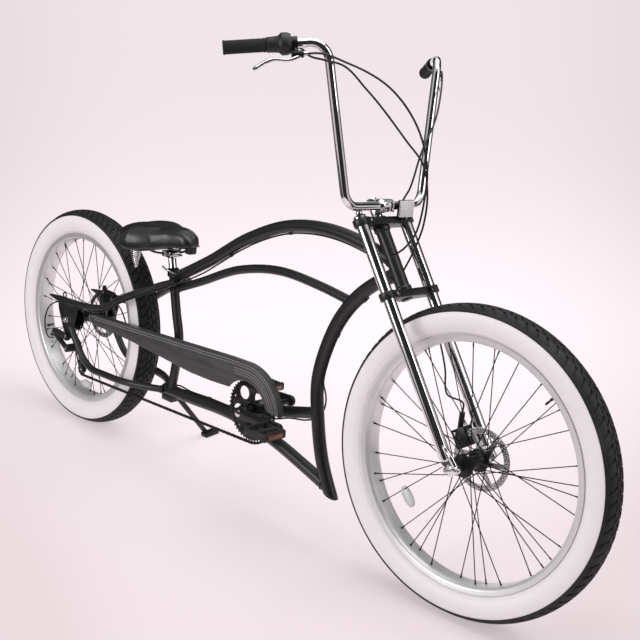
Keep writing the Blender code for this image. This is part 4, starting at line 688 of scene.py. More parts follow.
def tread_block(name, tyre_radius, half, inner, outer, slant, fill):
    """One block of the tread, slanted back from the middle, as a plate bent onto the tyre."""
    block = begin(bpy.ops.mesh.primitive_grid_add, name, x_subdivisions=3, y_subdivisions=6, size=1.0)
    pitch = FULL_TURN / TREAD_PITCHES
    edit(block)
    bpy.ops.mesh.extrude_region_move(TRANSFORM_OT_translate={"value": (0, 0, 1.0)})
    bpy.ops.mesh.select_all(action="SELECT")
    bpy.ops.mesh.normals_make_consistent(inside=False)
    leave_edit()
    for vertex in block.data.vertices:
        along, up, top = vertex.co.x, vertex.co.y + 0.5, vertex.co.z > 0.5
        across = inner + (outer - inner) * up
        shrink = 1.0 if not top else 0.93
        angle = pitch * (along * fill * shrink + slant * (up - 0.5))
        vertex.co = on_crown(angle, across, tyre_radius, half, 0.0 if top else -0.0055)
    return bevelled(block, 0.0005, 1, math.radians(50))


def rubber_tread(name, wheel, tyre_radius, half, place, body):
    """The dark band: smooth shoulder, a raised ring, and rows of slanted blocks with grooves between."""
    side = [
        (tyre_radius - 0.0185, half - 0.0034), (tyre_radius - 0.0160, half - 0.0026),
        (tyre_radius - 0.0125, half - 0.0050), (tyre_radius - 0.0118, half - 0.0054),
        (tyre_radius - 0.0114, half - 0.0064), (tyre_radius - 0.0108, half - 0.0074),
    ]
    floor = [
        (tyre_radius - 0.0042 - 0.0165 * (step / 12) ** 3.2 - 0.0022 * (step / 12) ** 1.4,
            (half - 0.003) * step / 12)
        for step in (10, 9, 8, 6, 4, 2)
    ]
    outside = side + floor
    inside = [(tyre_radius - 0.0200, half - 0.0080), (tyre_radius - 0.0120, 0.020),
        (tyre_radius - 0.0090, 0.0)]
    profile = (outside + [(tyre_radius - 0.0042, 0.0)] + [(radius, -z) for radius, z in reversed(outside)]
               + [(radius, -z) for radius, z in inside[:-1]]
               + [(radius, z) for radius, z in reversed(inside)])
    band = turned(name + "_band", profile, 176, closed=True)
    pitch = FULL_TURN / TREAD_PITCHES
    rows = []
    for label, inner, outer, slant, fill, shift in (
            ("left_block", 0.36, 0.90, 0.55, 0.80, 0.0), ("right_block", -0.36, -0.90, 0.55, 0.80, 0.5),
            ("left_centre", 0.03, 0.31, 0.40, 0.86, 0.2), ("right_centre", -0.03, -0.31, 0.40, 0.86, 0.7)):
        template = tread_block(f"{name}_{label}", tyre_radius, half, inner, outer, slant, fill)
        rows.append(repeated(template, [Matrix.Rotation((step + shift) * pitch, 4, "Z")
                                        for step in range(TREAD_PITCHES)], f"{name}_{label}s"))
    tread = joined([band, *rows], name)
    tread.data.transform(STAND_UP)
    return settle(tread, place, body, "tyre_black", [f"{wheel}_tread"], wheel)


def whitewall_casing(name, wheel, tyre_radius, half, rim_radius, rim_half, place, body):
    """The white sidewalls, with the rounded bead at the rim and a fine moulded ring."""
    side = [
        (rim_radius - 0.003, rim_half - 0.0050), (rim_radius + 0.0006, rim_half - 0.0040),
        (rim_radius + 0.0030, rim_half - 0.0012), (rim_radius + 0.0070, rim_half + 0.0022),
        (rim_radius + 0.0085, rim_half + 0.0042), (rim_radius + 0.0100, rim_half + 0.0040),
        (rim_radius + 0.0150, half - 0.0034), (rim_radius + 0.0220, half - 0.0012),
        (rim_radius + 0.0300, half - 0.0001), (rim_radius + 0.0360, half),
        (tyre_radius - 0.0260, half - 0.0008), (tyre_radius - 0.0200, half - 0.0026),
        (tyre_radius - 0.0172, half - 0.0040),
    ]
    profile = ([(radius, -z) for radius, z in side]
               + [(tyre_radius - 0.014, -half + 0.012), (tyre_radius - 0.010, 0.0),
                   (tyre_radius - 0.014, half - 0.012)]
               + [(radius, z) for radius, z in reversed(side)])
    casing = turned(name, profile, 176)
    casing.data.transform(STAND_UP)
    return settle(casing, place, body, "whitewall", [f"{wheel}_whitewall"], wheel)


def alloy_rim(name, wheel, rim_radius, rim_half, place, body):
    """A box rim with rolled lips and a crowned inner face."""
    half = [
        (rim_radius - 0.0005, rim_half), (rim_radius, rim_half - 0.0010),
        (rim_radius - 0.0006, rim_half - 0.0022),
        (rim_radius - 0.0040, rim_half - 0.0030),
    ]
    inner = [
        (rim_radius - 0.0024, rim_half + 0.0), (rim_radius - 0.0042, rim_half - 0.0009),
        (rim_radius - 0.0100, rim_half - 0.0012), (rim_radius - 0.0160, rim_half - 0.0040),
        (rim_radius - 0.0188, rim_half - 0.0085), (rim_radius - 0.0197, rim_half - 0.0150),
        (rim_radius - 0.0200, 0.008), (rim_radius - 0.0200, 0.0),
    ]
    outside = half[::-1] + inner
    bed = [(rim_radius - 0.0110, rim_half - 0.0060), (rim_radius - 0.0150, 0.010), (rim_radius - 0.0150, 0.0)]
    profile = (outside + [(radius, -z) for radius, z in reversed(outside[:-1])]
               + [(radius, -z) for radius, z in bed[:-1]] + [(radius, z) for radius, z in reversed(bed)])
    rim = turned(name, profile, 176, closed=True)
    rim.data.transform(STAND_UP)
    return settle(rim, place, body, "rim_silver", [f"{wheel}_rim"], wheel)


def hub_and_spokes(name, wheel, rim_radius, flange_z, hub_half, rotor_z, place, body):
    """A flanged hub, crossed spokes with elbows at the flanges, and a nipple at the end of each spoke."""
    boss_end = rotor_z - 0.0014
    hub = turned(name + "_barrel", [
        (0.0056, -hub_half), (0.0110, -hub_half), (0.0120, -hub_half + 0.001), (0.0120, -flange_z - 0.0085),
        (0.0165, -flange_z - 0.0065), (0.0255, -flange_z - 0.0032), (0.0282, -flange_z - 0.0026),
        (0.0290, -flange_z - 0.0014), (0.0290, -flange_z + 0.0010), (0.0280, -flange_z + 0.0020),
        (0.0200, -flange_z + 0.0045), (0.0172, -flange_z + 0.0095), (0.0165, 0.0),
        (0.0172, flange_z - 0.0095),
        (0.0200, flange_z - 0.0045), (0.0280, flange_z - 0.0020), (0.0290, flange_z - 0.0010),
        (0.0290, flange_z + 0.0014), (0.0282, flange_z + 0.0026), (0.0240, flange_z + 0.0042),
        (0.0210, flange_z + 0.0050), (0.0210, boss_end), (0.0120, boss_end), (0.0120, hub_half - 0.001),
        (0.0110, hub_half), (0.0056, hub_half),
    ], 40, closed=True)
    pieces = [hub]
    pitch = FULL_TURN / SPOKES_PER_FLANGE
    for side in (-1, 1):
        for lead in (-1, 1):
            hub_angle = pitch / 2 if side > 0 else 0.0
            rim_angle = hub_angle + lead * 3 * pitch - lead * 0.05
            z = side * (flange_z + 0.0005 + lead * 0.0017)
            inner = Vector((0.025 * math.cos(hub_angle), 0.025 * math.sin(hub_angle), z))
            reach = rim_radius - 0.0203
            outer = Vector((reach * math.cos(rim_angle), reach * math.sin(rim_angle), side * 0.007))
            way = (outer - inner).normalized()
            across = Vector((0, 0, side * lead))
            spoke = tube(f"{name}_spoke", [
                inner - across * 0.0042, inner - across * 0.0010, inner + way * 0.0024, outer], 0.0013, 6)
            head = begin(bpy.ops.mesh.primitive_uv_sphere_add, "spoke_head", segments=8, ring_count=6,
                radius=0.0021)
            for vertex in head.data.vertices:
                vertex.co.z *= 0.6
            head.data.transform(Matrix.Translation(inner - across * 0.0040))
            nipple = turned("nipple", [
                (0.0, -0.012), (0.0013, -0.012), (0.0019, -0.0105), (0.0019, -0.0020), (0.0030, -0.0012),
                (0.0030, 0.0), (0.0, 0.0)], 8)
            nipple.data.transform(facing(outer, way))
            one = joined([spoke, head, nipple], f"{name}_spoke_{side}_{lead}")
            first = 1 if lead > 0 else 0
            pieces.append(repeated(one, [
                Matrix.Rotation((2 * step + first) * pitch, 4, "Z") for step in range(SPOKES_PER_FLANGE // 2)
            ], f"{name}_spokes_{side}_{lead}"))
    lacing = joined(pieces, name)
    lacing.data.transform(STAND_UP)
    return settle(lacing, place, body, "spoke_black", [f"{wheel}_hub_and_spokes"], wheel)


DISC_HOLE_ROWS = 36


def disc_rotor(name, wheel, z, place, body):
    """A brake disc: a ring with staggered round holes, six swept arms and the bolted centre."""
    ring_inner, hub_outer = 0.064, 0.023
    windows = []
    for arm in range(6):
        start = arm * math.pi / 3
        loop = [(ring_inner, start + math.radians(turn)) for turn in (6, 14, 22, 30, 38, 46, 54)]
        loop += [(hub_outer, start + math.radians(turn)) for turn in (62, 54, 46, 38)]
        windows.append([(radius * math.cos(turn), radius * math.sin(turn)) for radius, turn in loop])
    holes = []
    for step in range(DISC_HOLE_ROWS):
        turn = FULL_TURN * step / DISC_HOLE_ROWS
        for radius, shift in ((0.0680, 0.0), (0.0722, 0.5), (0.0764, 1.0)):
            angle = turn + shift * FULL_TURN / DISC_HOLE_ROWS
            holes.append(ring(0.0014, 8, (radius * math.cos(angle), radius * math.sin(angle))))
    bore = ring(0.0124, 24)
    disc = sheet(name, ring(0.080, 120), 0.0020, [*windows, *holes, bore], 0.0002)
    bolts = repeated(socket_screw("disc_bolt", 0.0034, 0.0024), [
        Matrix.Rotation(FULL_TURN * step / 6 + 0.2, 4, "Z") @ Matrix.Translation((0.0185, 0, 0.0018))
        for step in range(6)], name + "_bolts")
    disc = joined([disc, bolts], name)
    disc.data.transform(Matrix.Translation((0, 0, z)))
    disc.data.transform(STAND_UP)
    return settle(disc, place, body, "rotor_steel", [f"{wheel}_rotor"], wheel)


def inner_tube_valve(name, rim_radius, angle, place, body):
    """A black rubber valve with its screw cap, through the rim's inner face."""
    reach = rim_radius - 0.0195
    valve = turned(name, [
        (0.0, -0.036), (0.0024, -0.0355), (0.0030, -0.034), (0.0030, -0.024), (0.0024, -0.0235),
        (0.0024, -0.019), (0.0036, -0.0175), (0.0040, -0.004), (0.0055, -0.002), (0.0060, 0.0),
        (0.0, 0.0)], 16)
    valve.data.transform(facing(Vector((reach * math.cos(angle), 0.0, reach * math.sin(angle))),
                                Vector((math.cos(angle), 0.0, math.sin(angle)))))
    return settle(valve, place, body, "black_plastic")


FRONT_WHEEL = FORK @ Matrix.Translation(FRONT_AXLE)
REAR_WHEEL = BIKE @ Matrix.Translation(REAR_AXLE)
WHEELS = (
    ("front", FRONT_WHEEL, "front_wheel", 0.389, 0.041, 0.317, 0.030, 0.034, 0.064, 0.0475, math.radians(49)),
    ("rear", REAR_WHEEL, "rear_wheel", 0.3647, 0.0445, 0.2885, 0.033, 0.037, 0.0785, 0.058,
        math.radians(200)),
)
for (wheel, place, body, tyre_radius, tyre_half, rim_radius, rim_half, flange_z, hub_half, rotor_z,
     valve_angle) in WHEELS:
    rubber_tread(f"{wheel}_tyre_tread", wheel, tyre_radius, tyre_half, place, body)
    whitewall_casing(f"{wheel}_tyre_sidewalls", wheel, tyre_radius, tyre_half, rim_radius, rim_half,
        place, body)
    alloy_rim(f"{wheel}_alloy_rim", wheel, rim_radius, rim_half, place, body)
    hub_and_spokes(f"{wheel}_hub_spokes", wheel, rim_radius, flange_z, hub_half, rotor_z, place, body)
    disc_rotor(f"{wheel}_brake_disc", wheel, rotor_z, place, body)
    inner_tube_valve(f"{wheel}_valve", rim_radius, valve_angle, place, body)


# Frame: round tubes on smooth paths in the middle plane, with a weld bead where one meets another


def flat(keys):
    return [(x, 0.0, z) for x, z in keys]


SEAT_TUBE = smooth_path(flat(((0.450, 0.628), (0.478, 0.493), (0.4975, 0.410), (0.489, 0.330),
    (0.472, 0.239))))
BOOM = smooth_path(flat(((0.440, 0.2345), (0.566, 0.239), (0.757, 0.2465), (0.860, 0.240), (0.980, 0.218),
                         (1.074, 0.192), (1.178, 0.161))))
DOWN_TUBE = smooth_path(flat(((1.3547, 0.797), (1.277, 0.752), (1.226, 0.709), (1.176, 0.646), (1.131, 0.550),
                              (1.108, 0.449), (1.121, 0.337), (1.149, 0.229), (1.210, 0.107))))
TOP_TUBE = smooth_path(flat(((0.457, 0.5955), (0.625, 0.684), (0.795, 0.785), (0.954, 0.847), (1.110, 0.864),
                             (1.252, 0.846), (1.3375, 0.823))))
MID_TUBE = smooth_path(flat(((0.463, 0.562), (0.584, 0.611), (0.761, 0.685), (0.927, 0.716), (1.086, 0.708),
                             (1.214, 0.690))))
SEAT_TUBE_RADIUS = 0.0143
BOOM_RADIUS = 0.0180
DOWN_TUBE_RADIUS = 0.0185
TOP_TUBE_RADIUS = 0.0172
MID_TUBE_RADIUS = 0.0127
HEAD_TUBE_RADIUS = 0.0178
STAY_RADIUS = 0.0112
BRACKET = Vector((0.908, 0.0, 0.312))
STRUT = smooth_path([BRACKET + Vector((0.020, 0.0, 0.002)), (0.994, 0.0, 0.324), (1.049, 0.0, 0.338),
                     (1.1185, 0.0, 0.357)])
ACROSS = Vector((0, 1, 0))


def from_path(point, path):
    """The distance from a point to a path of straight pieces."""
    nearest = math.inf
    for start, end in zip(path, path[1:]):
        span = end - start
        share = min(max((point - start).dot(span) / span.length_squared, 0.0), 1.0)
        nearest = min(nearest, (point - start - span * share).length)
    return nearest


STRUT_RADIUS = 0.0165


def weld_bead(name, path, radius, other, other_radius):
    """The bead round the end of a tube, along the line where its wall meets another tube."""
    near = path if from_path(path[-1], other) < from_path(path[0], other) else path[::-1]
    near = near[-22:]
    seam = []
    for step in range(28):
        angle = FULL_TURN * step / 28
        before = None
        for index in range(len(near) - 1):
            along = (near[index + 1] - near[index]).normalized()
            outward = along.cross(ACROSS).normalized() * math.cos(angle) + ACROSS * math.sin(angle)
            outward = (outward - along * along.dot(outward)).normalized()
            wall = near[index] + outward * radius
            depth = from_path(wall, other) - other_radius
            if depth <= 0 and before:
                wall = before[0].lerp(wall, before[1] / (before[1] - depth))
                break
            before = (wall, depth)
        seam.append(wall)
    return tube(name, [seam[index] for index in range(28)], 0.0023, 8, closed=True)


def frame_tube(node, path, radius, welds=(), tidy=None):
    body = tube(node + "_pipe", path, radius, 32)
    if tidy:
        tidy(body)
    beads = [weld_bead(f"{node}_bead_{index}", path, radius, other, other_radius)
             for index, (other, other_radius) in enumerate(welds)]
    return settle(joined([body, *beads], node + "_pipe"), BIKE, "frame", "black_paint", [node])


def pointed_tip(piece):
    """Cuts the down tube's foot along the underside of the boom, which leaves its point."""
    slope = math.radians(16.3)
    normal = Vector((math.sin(slope), 0.0, math.cos(slope)))
    corner = Vector((1.181, 0.0, 0.103)) + normal * 0.04
    edit(piece)
    bpy.ops.mesh.bisect(plane_co=corner, plane_no=normal, clear_inner=True, use_fill=True)
    bpy.ops.mesh.select_all(action="SELECT")
    bpy.ops.mesh.normals_make_consistent(inside=False)
    leave_edit()


head_line = [steering_point(LOWER_CROWN_HEIGHT + 0.02), steering_point(UPPER_CROWN_HEIGHT - 0.02)]
head_pipe = [head_line[0].lerp(head_line[1], step / 4) for step in range(5)]
frame_tube("seat_tube", SEAT_TUBE, SEAT_TUBE_RADIUS, [(BOOM, BOOM_RADIUS)])
frame_tube("boom", BOOM, BOOM_RADIUS, [(DOWN_TUBE, DOWN_TUBE_RADIUS)])
frame_tube("down_tube", DOWN_TUBE, DOWN_TUBE_RADIUS, [(head_pipe, HEAD_TUBE_RADIUS)], pointed_tip)
frame_tube("top_tube", TOP_TUBE, TOP_TUBE_RADIUS,
    [(head_pipe, HEAD_TUBE_RADIUS), (SEAT_TUBE, SEAT_TUBE_RADIUS)])
frame_tube("mid_tube", MID_TUBE, MID_TUBE_RADIUS,
    [(DOWN_TUBE, DOWN_TUBE_RADIUS), (SEAT_TUBE, SEAT_TUBE_RADIUS)])


def along_fork(point):
    return Matrix.Translation(point) @ ALONG_FORK


head_start = steering_point(LOWER_CROWN_HEIGHT + CROWN_THICKNESS / 2 + 0.0005)
head_length = UPPER_CROWN_HEIGHT - LOWER_CROWN_HEIGHT - CROWN_THICKNESS - 0.001
cup = [(0.0155, 0.0), (0.0206, 0.0), (0.0210, 0.0008), (0.0210, 0.0036), (0.0200, 0.0042), (0.0210, 0.0050),
       (0.0210, 0.0094), (0.0204, 0.0104), (0.0178, 0.0130), (0.0178, 0.0180)]
head_tube = turned("head_tube_pipe", cup
    + [(radius, head_length - height) for radius, height in reversed(cup)],
                   48, closed=True)
head_tube.data.transform(along_fork(head_start))
settle(head_tube, BIKE, "frame", "black_paint", ["head_tube"])

# Bottom bracket: threaded cups in the shell, the post on the boom and the strut to the down tube
post_foot = BRACKET + Vector((-0.012, 0.0, -0.075))
shell = turned("shell", [
    (0.0100, -0.0360), (0.0205, -0.0360), (0.0208, -0.0352), (0.0208, -0.0330), (0.0234, -0.0328),
    (0.0240, -0.0318),
    (0.0240, 0.0318), (0.0234, 0.0328), (0.0208, 0.0330), (0.0208, 0.0352), (0.0205, 0.0360),
    (0.0100, 0.0360),
], 48, closed=True)
shell.data.transform(facing(BRACKET, ACROSS))
post = [post_foot.lerp(BRACKET, step / 12) for step in range(13)]
bracket_parts = [shell, rod("post", post_foot, BRACKET + (post_foot - BRACKET).normalized() * 0.020,
    0.014, 32),
                 tube("strut", STRUT, STRUT_RADIUS, 32),
                 weld_bead("strut_bead", STRUT, STRUT_RADIUS, DOWN_TUBE, DOWN_TUBE_RADIUS),
                 weld_bead("post_bead", post[::-1], 0.014, BOOM, BOOM_RADIUS)]
settle(joined(bracket_parts, "bottom_bracket_shell"), BIKE, "frame", "black_paint", ["bottom_bracket"])

# Stays and dropouts
UPPER_STAY = ((-0.055, 0.083, 0.427), (0.068, 0.083, 0.432), (0.143, 0.083, 0.440), (0.210, 0.082, 0.455),
              (0.284, 0.0765, 0.497), (0.335, 0.068, 0.524), (0.404, 0.048, 0.556), (0.450, 0.0345, 0.577),
              (0.500, 0.0235, 0.595))
LOWER_STAY = ((0.020, 0.083, 0.342), (0.056, 0.083, 0.300), (0.098, 0.083, 0.256), (0.143, 0.083, 0.2335),
              (0.225, 0.083, 0.2325), (0.300, 0.078, 0.2335), (0.352, 0.066, 0.2345), (0.405, 0.042, 0.235),
              (0.450, 0.016, 0.235))
DROPOUT = ((-0.058, 0.4240), (0.050, 0.4270), (0.052, 0.395), (0.034, 0.350), (0.022, 0.304), (-0.006, 0.302),
           (-0.030, 0.345), (-0.052, 0.392))


def stay_path(keys, sign, per_span=8):
    return smooth_path([(x, sign * y, z) for x, y, z in keys], per_span)


for side, sign in (("right", -1.0), ("left", 1.0)):
    upper = [Vector((-0.112, sign * 0.083, 0.428)), Vector((-0.100, sign * 0.083, 0.4277))] + stay_path(UPPER_STAY, sign)
    parts = [
        tube("upper_stay", upper, STAY_RADIUS, 24, radii=[0.22, 0.42] + [1.0] * (len(upper) - 2)),
        tube("lower_stay", stay_path(LOWER_STAY, sign), STAY_RADIUS, 24),
    ]
    plate = sheet("dropout", DROPOUT, 0.006, [ring(0.0053, 16, (0.0, 0.3655))], 0.0012)
    plate.data.transform(side_view(sign * 0.083))
    eyelet_x, eyelet_z = (-0.0206, 0.4460) if sign < 0 else (-0.0235, 0.4430)
    eyelet = tube("eyelet", [(eyelet_x + 0.0085 * math.cos(turn), sign * 0.083, eyelet_z
        + 0.0085 * math.sin(turn))
                             for turn in [FULL_TURN * step / 20 for step in range(20)]], 0.0022, 8,
                             closed=True)
    bead_low = weld_bead("stay_bead", stay_path(LOWER_STAY, sign), STAY_RADIUS, BOOM, BOOM_RADIUS)
    bead_high = weld_bead("stay_bead_high", stay_path(UPPER_STAY, sign), STAY_RADIUS, MID_TUBE,
        MID_TUBE_RADIUS)
    settle(joined([*parts, plate, eyelet, bead_low, bead_high], f"{side}_stays"), BIKE, "frame",
        "black_paint",
           [f"rear_stays_{side}"])

# Rear axle: chrome nuts with washers outside the dropouts
nut = turned("nut", [(0.0052, 0.0), (0.0098, 0.0), (0.0100, 0.0006), (0.0100, 0.0014), (0.0092, 0.0018),
    (0.0052, 0.0018)],
             24, closed=True)
hexagon = begin(bpy.ops.mesh.primitive_cylinder_add, "hexagon", vertices=6, radius=0.0092, depth=0.0078)
hexagon.data.transform(Matrix.Translation((0, 0, 0.0056)))
bevelled(hexagon, 0.0007, 2)
nut_set = joined([nut, hexagon], "axle_nut")
axle_parts = [rod("axle", REAR_AXLE - ACROSS * 0.1023, REAR_AXLE + ACROSS * 0.1023, 0.0049, 20, 0.0008)]
left_nut = nut_set.copy()
left_nut.data = nut_set.data.copy()
bpy.context.scene.collection.objects.link(left_nut)
nut_set.data.transform(facing(REAR_AXLE - ACROSS * 0.0863, -ACROSS))
left_nut.data.transform(facing(REAR_AXLE + ACROSS * 0.0863, ACROSS))
settle(joined([*axle_parts, nut_set, left_nut], "rear_axle_nuts"), BIKE, "frame", "chrome", ["rear_axle"])


# Seat: chrome post, black clamp with its quick-release lever, sprung saddle

SEAT_TOP = Vector((0.450, 0.0, 0.628))
SEAT_SLOPE = Vector((-0.2031, 0.0, 0.9792)).normalized()
POST_TOP = SEAT_TOP + SEAT_SLOPE * 0.034
seat_post = turned("seat_post_tube", [
    (0.0, -0.010), (0.0127, -0.010), (0.0127, 0.0325), (0.0122, 0.034), (0.0, 0.034)], 40)
seat_post.data.transform(facing(SEAT_TOP, SEAT_SLOPE))
settle(seat_post, BIKE, "frame", "chrome", ["seat_post"])
collar = turned("collar", [
    (0.0146, -0.026), (0.0178, -0.026), (0.0187, -0.0250), (0.0187, -0.0170), (0.0178, -0.0160),
    (0.0178, -0.0120),
    (0.0187, -0.0110), (0.0187, -0.0030), (0.0178, -0.0020), (0.0146, -0.0020)], 40, closed=True)
collar.data.transform(facing(SEAT_TOP, SEAT_SLOPE))
ears = slab("ears", SEAT_TOP + Vector((0.0215, 0.0, -0.012)), (0.012, 0.022, 0.019), rounding=0.002)
settle(joined([collar, ears], "seat_collar"), BIKE, "frame", "black_alloy", ["seat_clamp"])
lever_bolt = rod("lever_bolt", SEAT_TOP + Vector((0.0225, -0.016, -0.012)), SEAT_TOP
    + Vector((0.0225, 0.016, -0.012)),
                 0.0028, 16, 0.0005)
lever_arm = tube("lever_arm", smooth_path([
    SEAT_TOP + Vector((0.0225, -0.0150, -0.012)), SEAT_TOP + Vector((0.014, -0.0235, -0.006)),
    SEAT_TOP + Vector((-0.004, -0.0265, -0.002)), SEAT_TOP + Vector((-0.024, -0.0215, 0.002))], 6),
    0.0026, 10)
settle(joined([lever_bolt, lever_arm], "seat_quick_release"), BIKE, "frame", "chrome")

SADDLE_REAR = 0.272
SADDLE_SECTIONS = (
    (0.000, 0.045, 0.730, 0.702), (0.012, 0.088, 0.743, 0.687), (0.036, 0.115, 0.750, 0.676),
    (0.075, 0.119, 0.752, 0.670), (0.115, 0.102, 0.752, 0.671), (0.155, 0.077, 0.753, 0.680),
    (0.200, 0.055, 0.755, 0.693), (0.240, 0.044, 0.754, 0.700), (0.268, 0.035, 0.746, 0.700),
    (0.284, 0.021, 0.730, 0.704),
)
SADDLE_SECTION = (
    (0.0, 0.06), (0.70, 0.04), (0.93, 0.0), (1.0, 0.22), (0.99, 0.50), (0.90, 0.80), (0.66, 0.95),
    (0.34, 1.0),
    (0.0, 0.975),
)


def between(columns, at):
    """A row of numbers between the rows of a table, by its first column."""
    for row, following in zip(columns, columns[1:]):
        if at <= following[0]:
            share = (at - row[0]) / (following[0] - row[0])
            return [low + (high - low) * share for low, high in zip(row, following)]
    return list(columns[-1])


def saddle_shell(name, inset):
    """The saddle as a lofted closed form, a little smaller than its finished size by the inset."""
    half_loop = smooth_path([(y, 0.0, z) for y, z in SADDLE_SECTION], 3)
    loop = [(point.x, point.z) for point in half_loop]
    loop += [(-y, z) for y, z in loop[-2:0:-1]]
    stations = [SADDLE_SECTIONS[-1][0] * step / 36 for step in range(37)]
    shell = begin(bpy.ops.mesh.primitive_circle_add, name, vertices=len(loop), radius=0.1, fill_type="NGON")
    edit(shell)
    for _ in stations[1:]:
        bpy.ops.mesh.extrude_region_move(TRANSFORM_OT_translate={"value": (0, 0, 1.0)})
    leave_edit()
    for vertex in shell.data.vertices:
        station = min(round(vertex.co.z), len(stations) - 1)
        turn = (math.atan2(vertex.co.y, vertex.co.x) / FULL_TURN) % 1.0
        y, z = loop[round(turn * len(loop)) % len(loop)]
        ahead, half_width, top, underside = between(SADDLE_SECTIONS, stations[station])
        middle = (top + underside) / 2
        height = underside + (top - underside) * z
        vertex.co = Vector((
            SADDLE_REAR + inset + ahead * (1.0 - 2 * inset / SADDLE_SECTIONS[-1][0]),
            y * (half_width - inset), middle + (height - middle) * (1.0 - 2 * inset / (top - underside))))
    edit(shell)
    bpy.ops.mesh.normals_make_consistent(inside=False)
    leave_edit()
    return shell


AIR_PRESSURE = 4.0
AIR_STEPS = 20
AIR_MESH_SIZE = 0.005
AIR_REACH = 0.0045


def stuffed(piece, cap):
    """Lets air pressure round a closed form, moving no point further than the cap."""
    remesh = piece.modifiers.new("even mesh", "REMESH")
    remesh.mode = "VOXEL"
    remesh.voxel_size = AIR_MESH_SIZE
    apply_modifiers(piece)
    start = [vertex.co.copy() for vertex in piece.data.vertices]
    cloth = piece.modifiers.new("air", "CLOTH")
    cloth.settings.use_pressure = True
    cloth.settings.uniform_pressure_force = AIR_PRESSURE
    cloth.settings.effector_weights.gravity = 0.0
    for step in range(1, AIR_STEPS + 1):
        bpy.context.scene.frame_set(step)
    seen = piece.evaluated_get(bpy.context.evaluated_depsgraph_get())
    moved = [vertex.co.copy() for vertex in seen.data.vertices]
    piece.modifiers.remove(cloth)
    bpy.context.scene.frame_set(1)
    for vertex, before, after in zip(piece.data.vertices, start, moved):
        step = after - before
        vertex.co = before + step * min(1.0, cap / max(step.length, 1e-9))
    return piece


cover = stuffed(saddle_shell("saddle_cover", 0.0035), AIR_REACH)
ease = cover.modifiers.new("ease", "SMOOTH")
ease.iterations = 3
soft = cover.modifiers.new("soft", "SUBSURF")
soft.levels = soft.render_levels = 1
apply_modifiers(cover)
only(cover)
bpy.ops.object.shade_smooth()
settle(cover, BIKE, "frame", "saddle_vinyl", ["saddle"])


def saddle_line(drop, grow):
    """A line round the saddle at a share of its height, a little outside its sides."""
    right = []
    for step in range(3, 33):
        ahead = SADDLE_SECTIONS[-1][0] * step / 36
        _, half_width, top, underside = between(SADDLE_SECTIONS, ahead)
        bulge = 1.0 if drop < 0.6 else 0.955
        right.append(Vector((SADDLE_REAR + ahead, -(half_width * bulge + grow), underside
            + (top - underside) * drop)))
    return right


piping = saddle_line(0.12, -0.0005)
piping = piping + [point * Vector((1, -1, 1)) for point in reversed(piping)]
settle(tube("saddle_edge_piping", smooth_path(piping, 1), 0.0016, 8), BIKE, "frame", "saddle_vinyl")

clamp_base = POST_TOP + SEAT_SLOPE * 0.0003
under, rails = [], []
for sign in (-1.0, 1.0):
    foot = Vector((0.352, sign * 0.070, 0.622))
    rails.append(tube("rail", smooth_path([
        (0.345, sign * 0.050, 0.690), (0.385, sign * 0.036, 0.672),
        (clamp_base.x, sign * 0.018, clamp_base.z + 0.012),
        (0.485, sign * 0.018, 0.686), (0.510, sign * 0.012, 0.706)], 8), 0.0035, 12))
    cone = turned("spring_cone", [
        (0.0, -0.006), (0.0040, -0.006), (0.0052, -0.0050), (0.0060, -0.0020), (0.0060, 0.0060),
        (0.0072, 0.0090),
        (0.0095, 0.0200), (0.0125, 0.0330), (0.0150, 0.0430), (0.0165, 0.0480), (0.0172, 0.0490),
        (0.0172, 0.0520),
        (0.0150, 0.0530), (0.0145, 0.0680), (0.0, 0.0680)], 32)
    cone.data.transform(Matrix.Translation(foot))
    under.append(cone)
    under.append(tube("coil", [foot + Vector(((0.0075 + 0.0095 * step / 96) * math.cos(step * 0.45),
                                             (0.0075 + 0.0095 * step / 96) * math.sin(step * 0.45),
                                             0.006 + 0.042 * step / 96)) for step in range(97)], 0.0014, 8))
under.append(slab("clamp_top", clamp_base + Vector((0.0, 0.0, 0.0150)), (0.040, 0.050, 0.009),
    rounding=0.002))
under.append(slab("clamp_low", clamp_base + Vector((0.0, 0.0, 0.0050)), (0.046, 0.046, 0.010),
    rounding=0.002))
under.append(rod("clamp_bolt", clamp_base + Vector((0.0, -0.025, 0.0100)), clamp_base
    + Vector((0.0, 0.025, 0.0100)),
                 0.0050, 6, 0.0008))
settle(joined(under, "saddle_clamp_and_springs"), BIKE, "frame", "chrome", ["saddle_frame"])
settle(joined(rails, "saddle_rails"), BIKE, "frame", "black_paint", ["saddle_frame"])
lobe = slab("saddle_nose_bracket", (0.532, 0.0, 0.7015), (0.022, 0.026, 0.030), rounding=0.005, taper=1.15)
settle(lobe, BIKE, "frame", "black_plastic")


# Drive

CHAIN_Y = -0.056
CHAIN_PITCH = 0.0127
CHAINRING_TEETH = 47
CHAINRING_TIP_RADIUS = 0.0925
CHAINRING_ROOT_RADIUS = 0.0872
GEARS = 6
DRIVING_GEAR = 2
DRIVING_GEAR_RADIUS = 0.034
GEAR_RADIUS_STEP = 0.004
GEAR_SPACING = 0.005
GEAR_TOOTH_HALF = 0.0022
UPPER_PULLEY = Vector((0.022, 0.0, 0.272))
LOWER_PULLEY = Vector((0.058, 0.0, 0.203))
CHAIN_WHEELS = ((BRACKET, 0.09545, 1, 60), (REAR_AXLE, 0.03895, 1, 30), (UPPER_PULLEY, 0.02145, -1, 20),
                (LOWER_PULLEY, 0.02145, 1, 20))


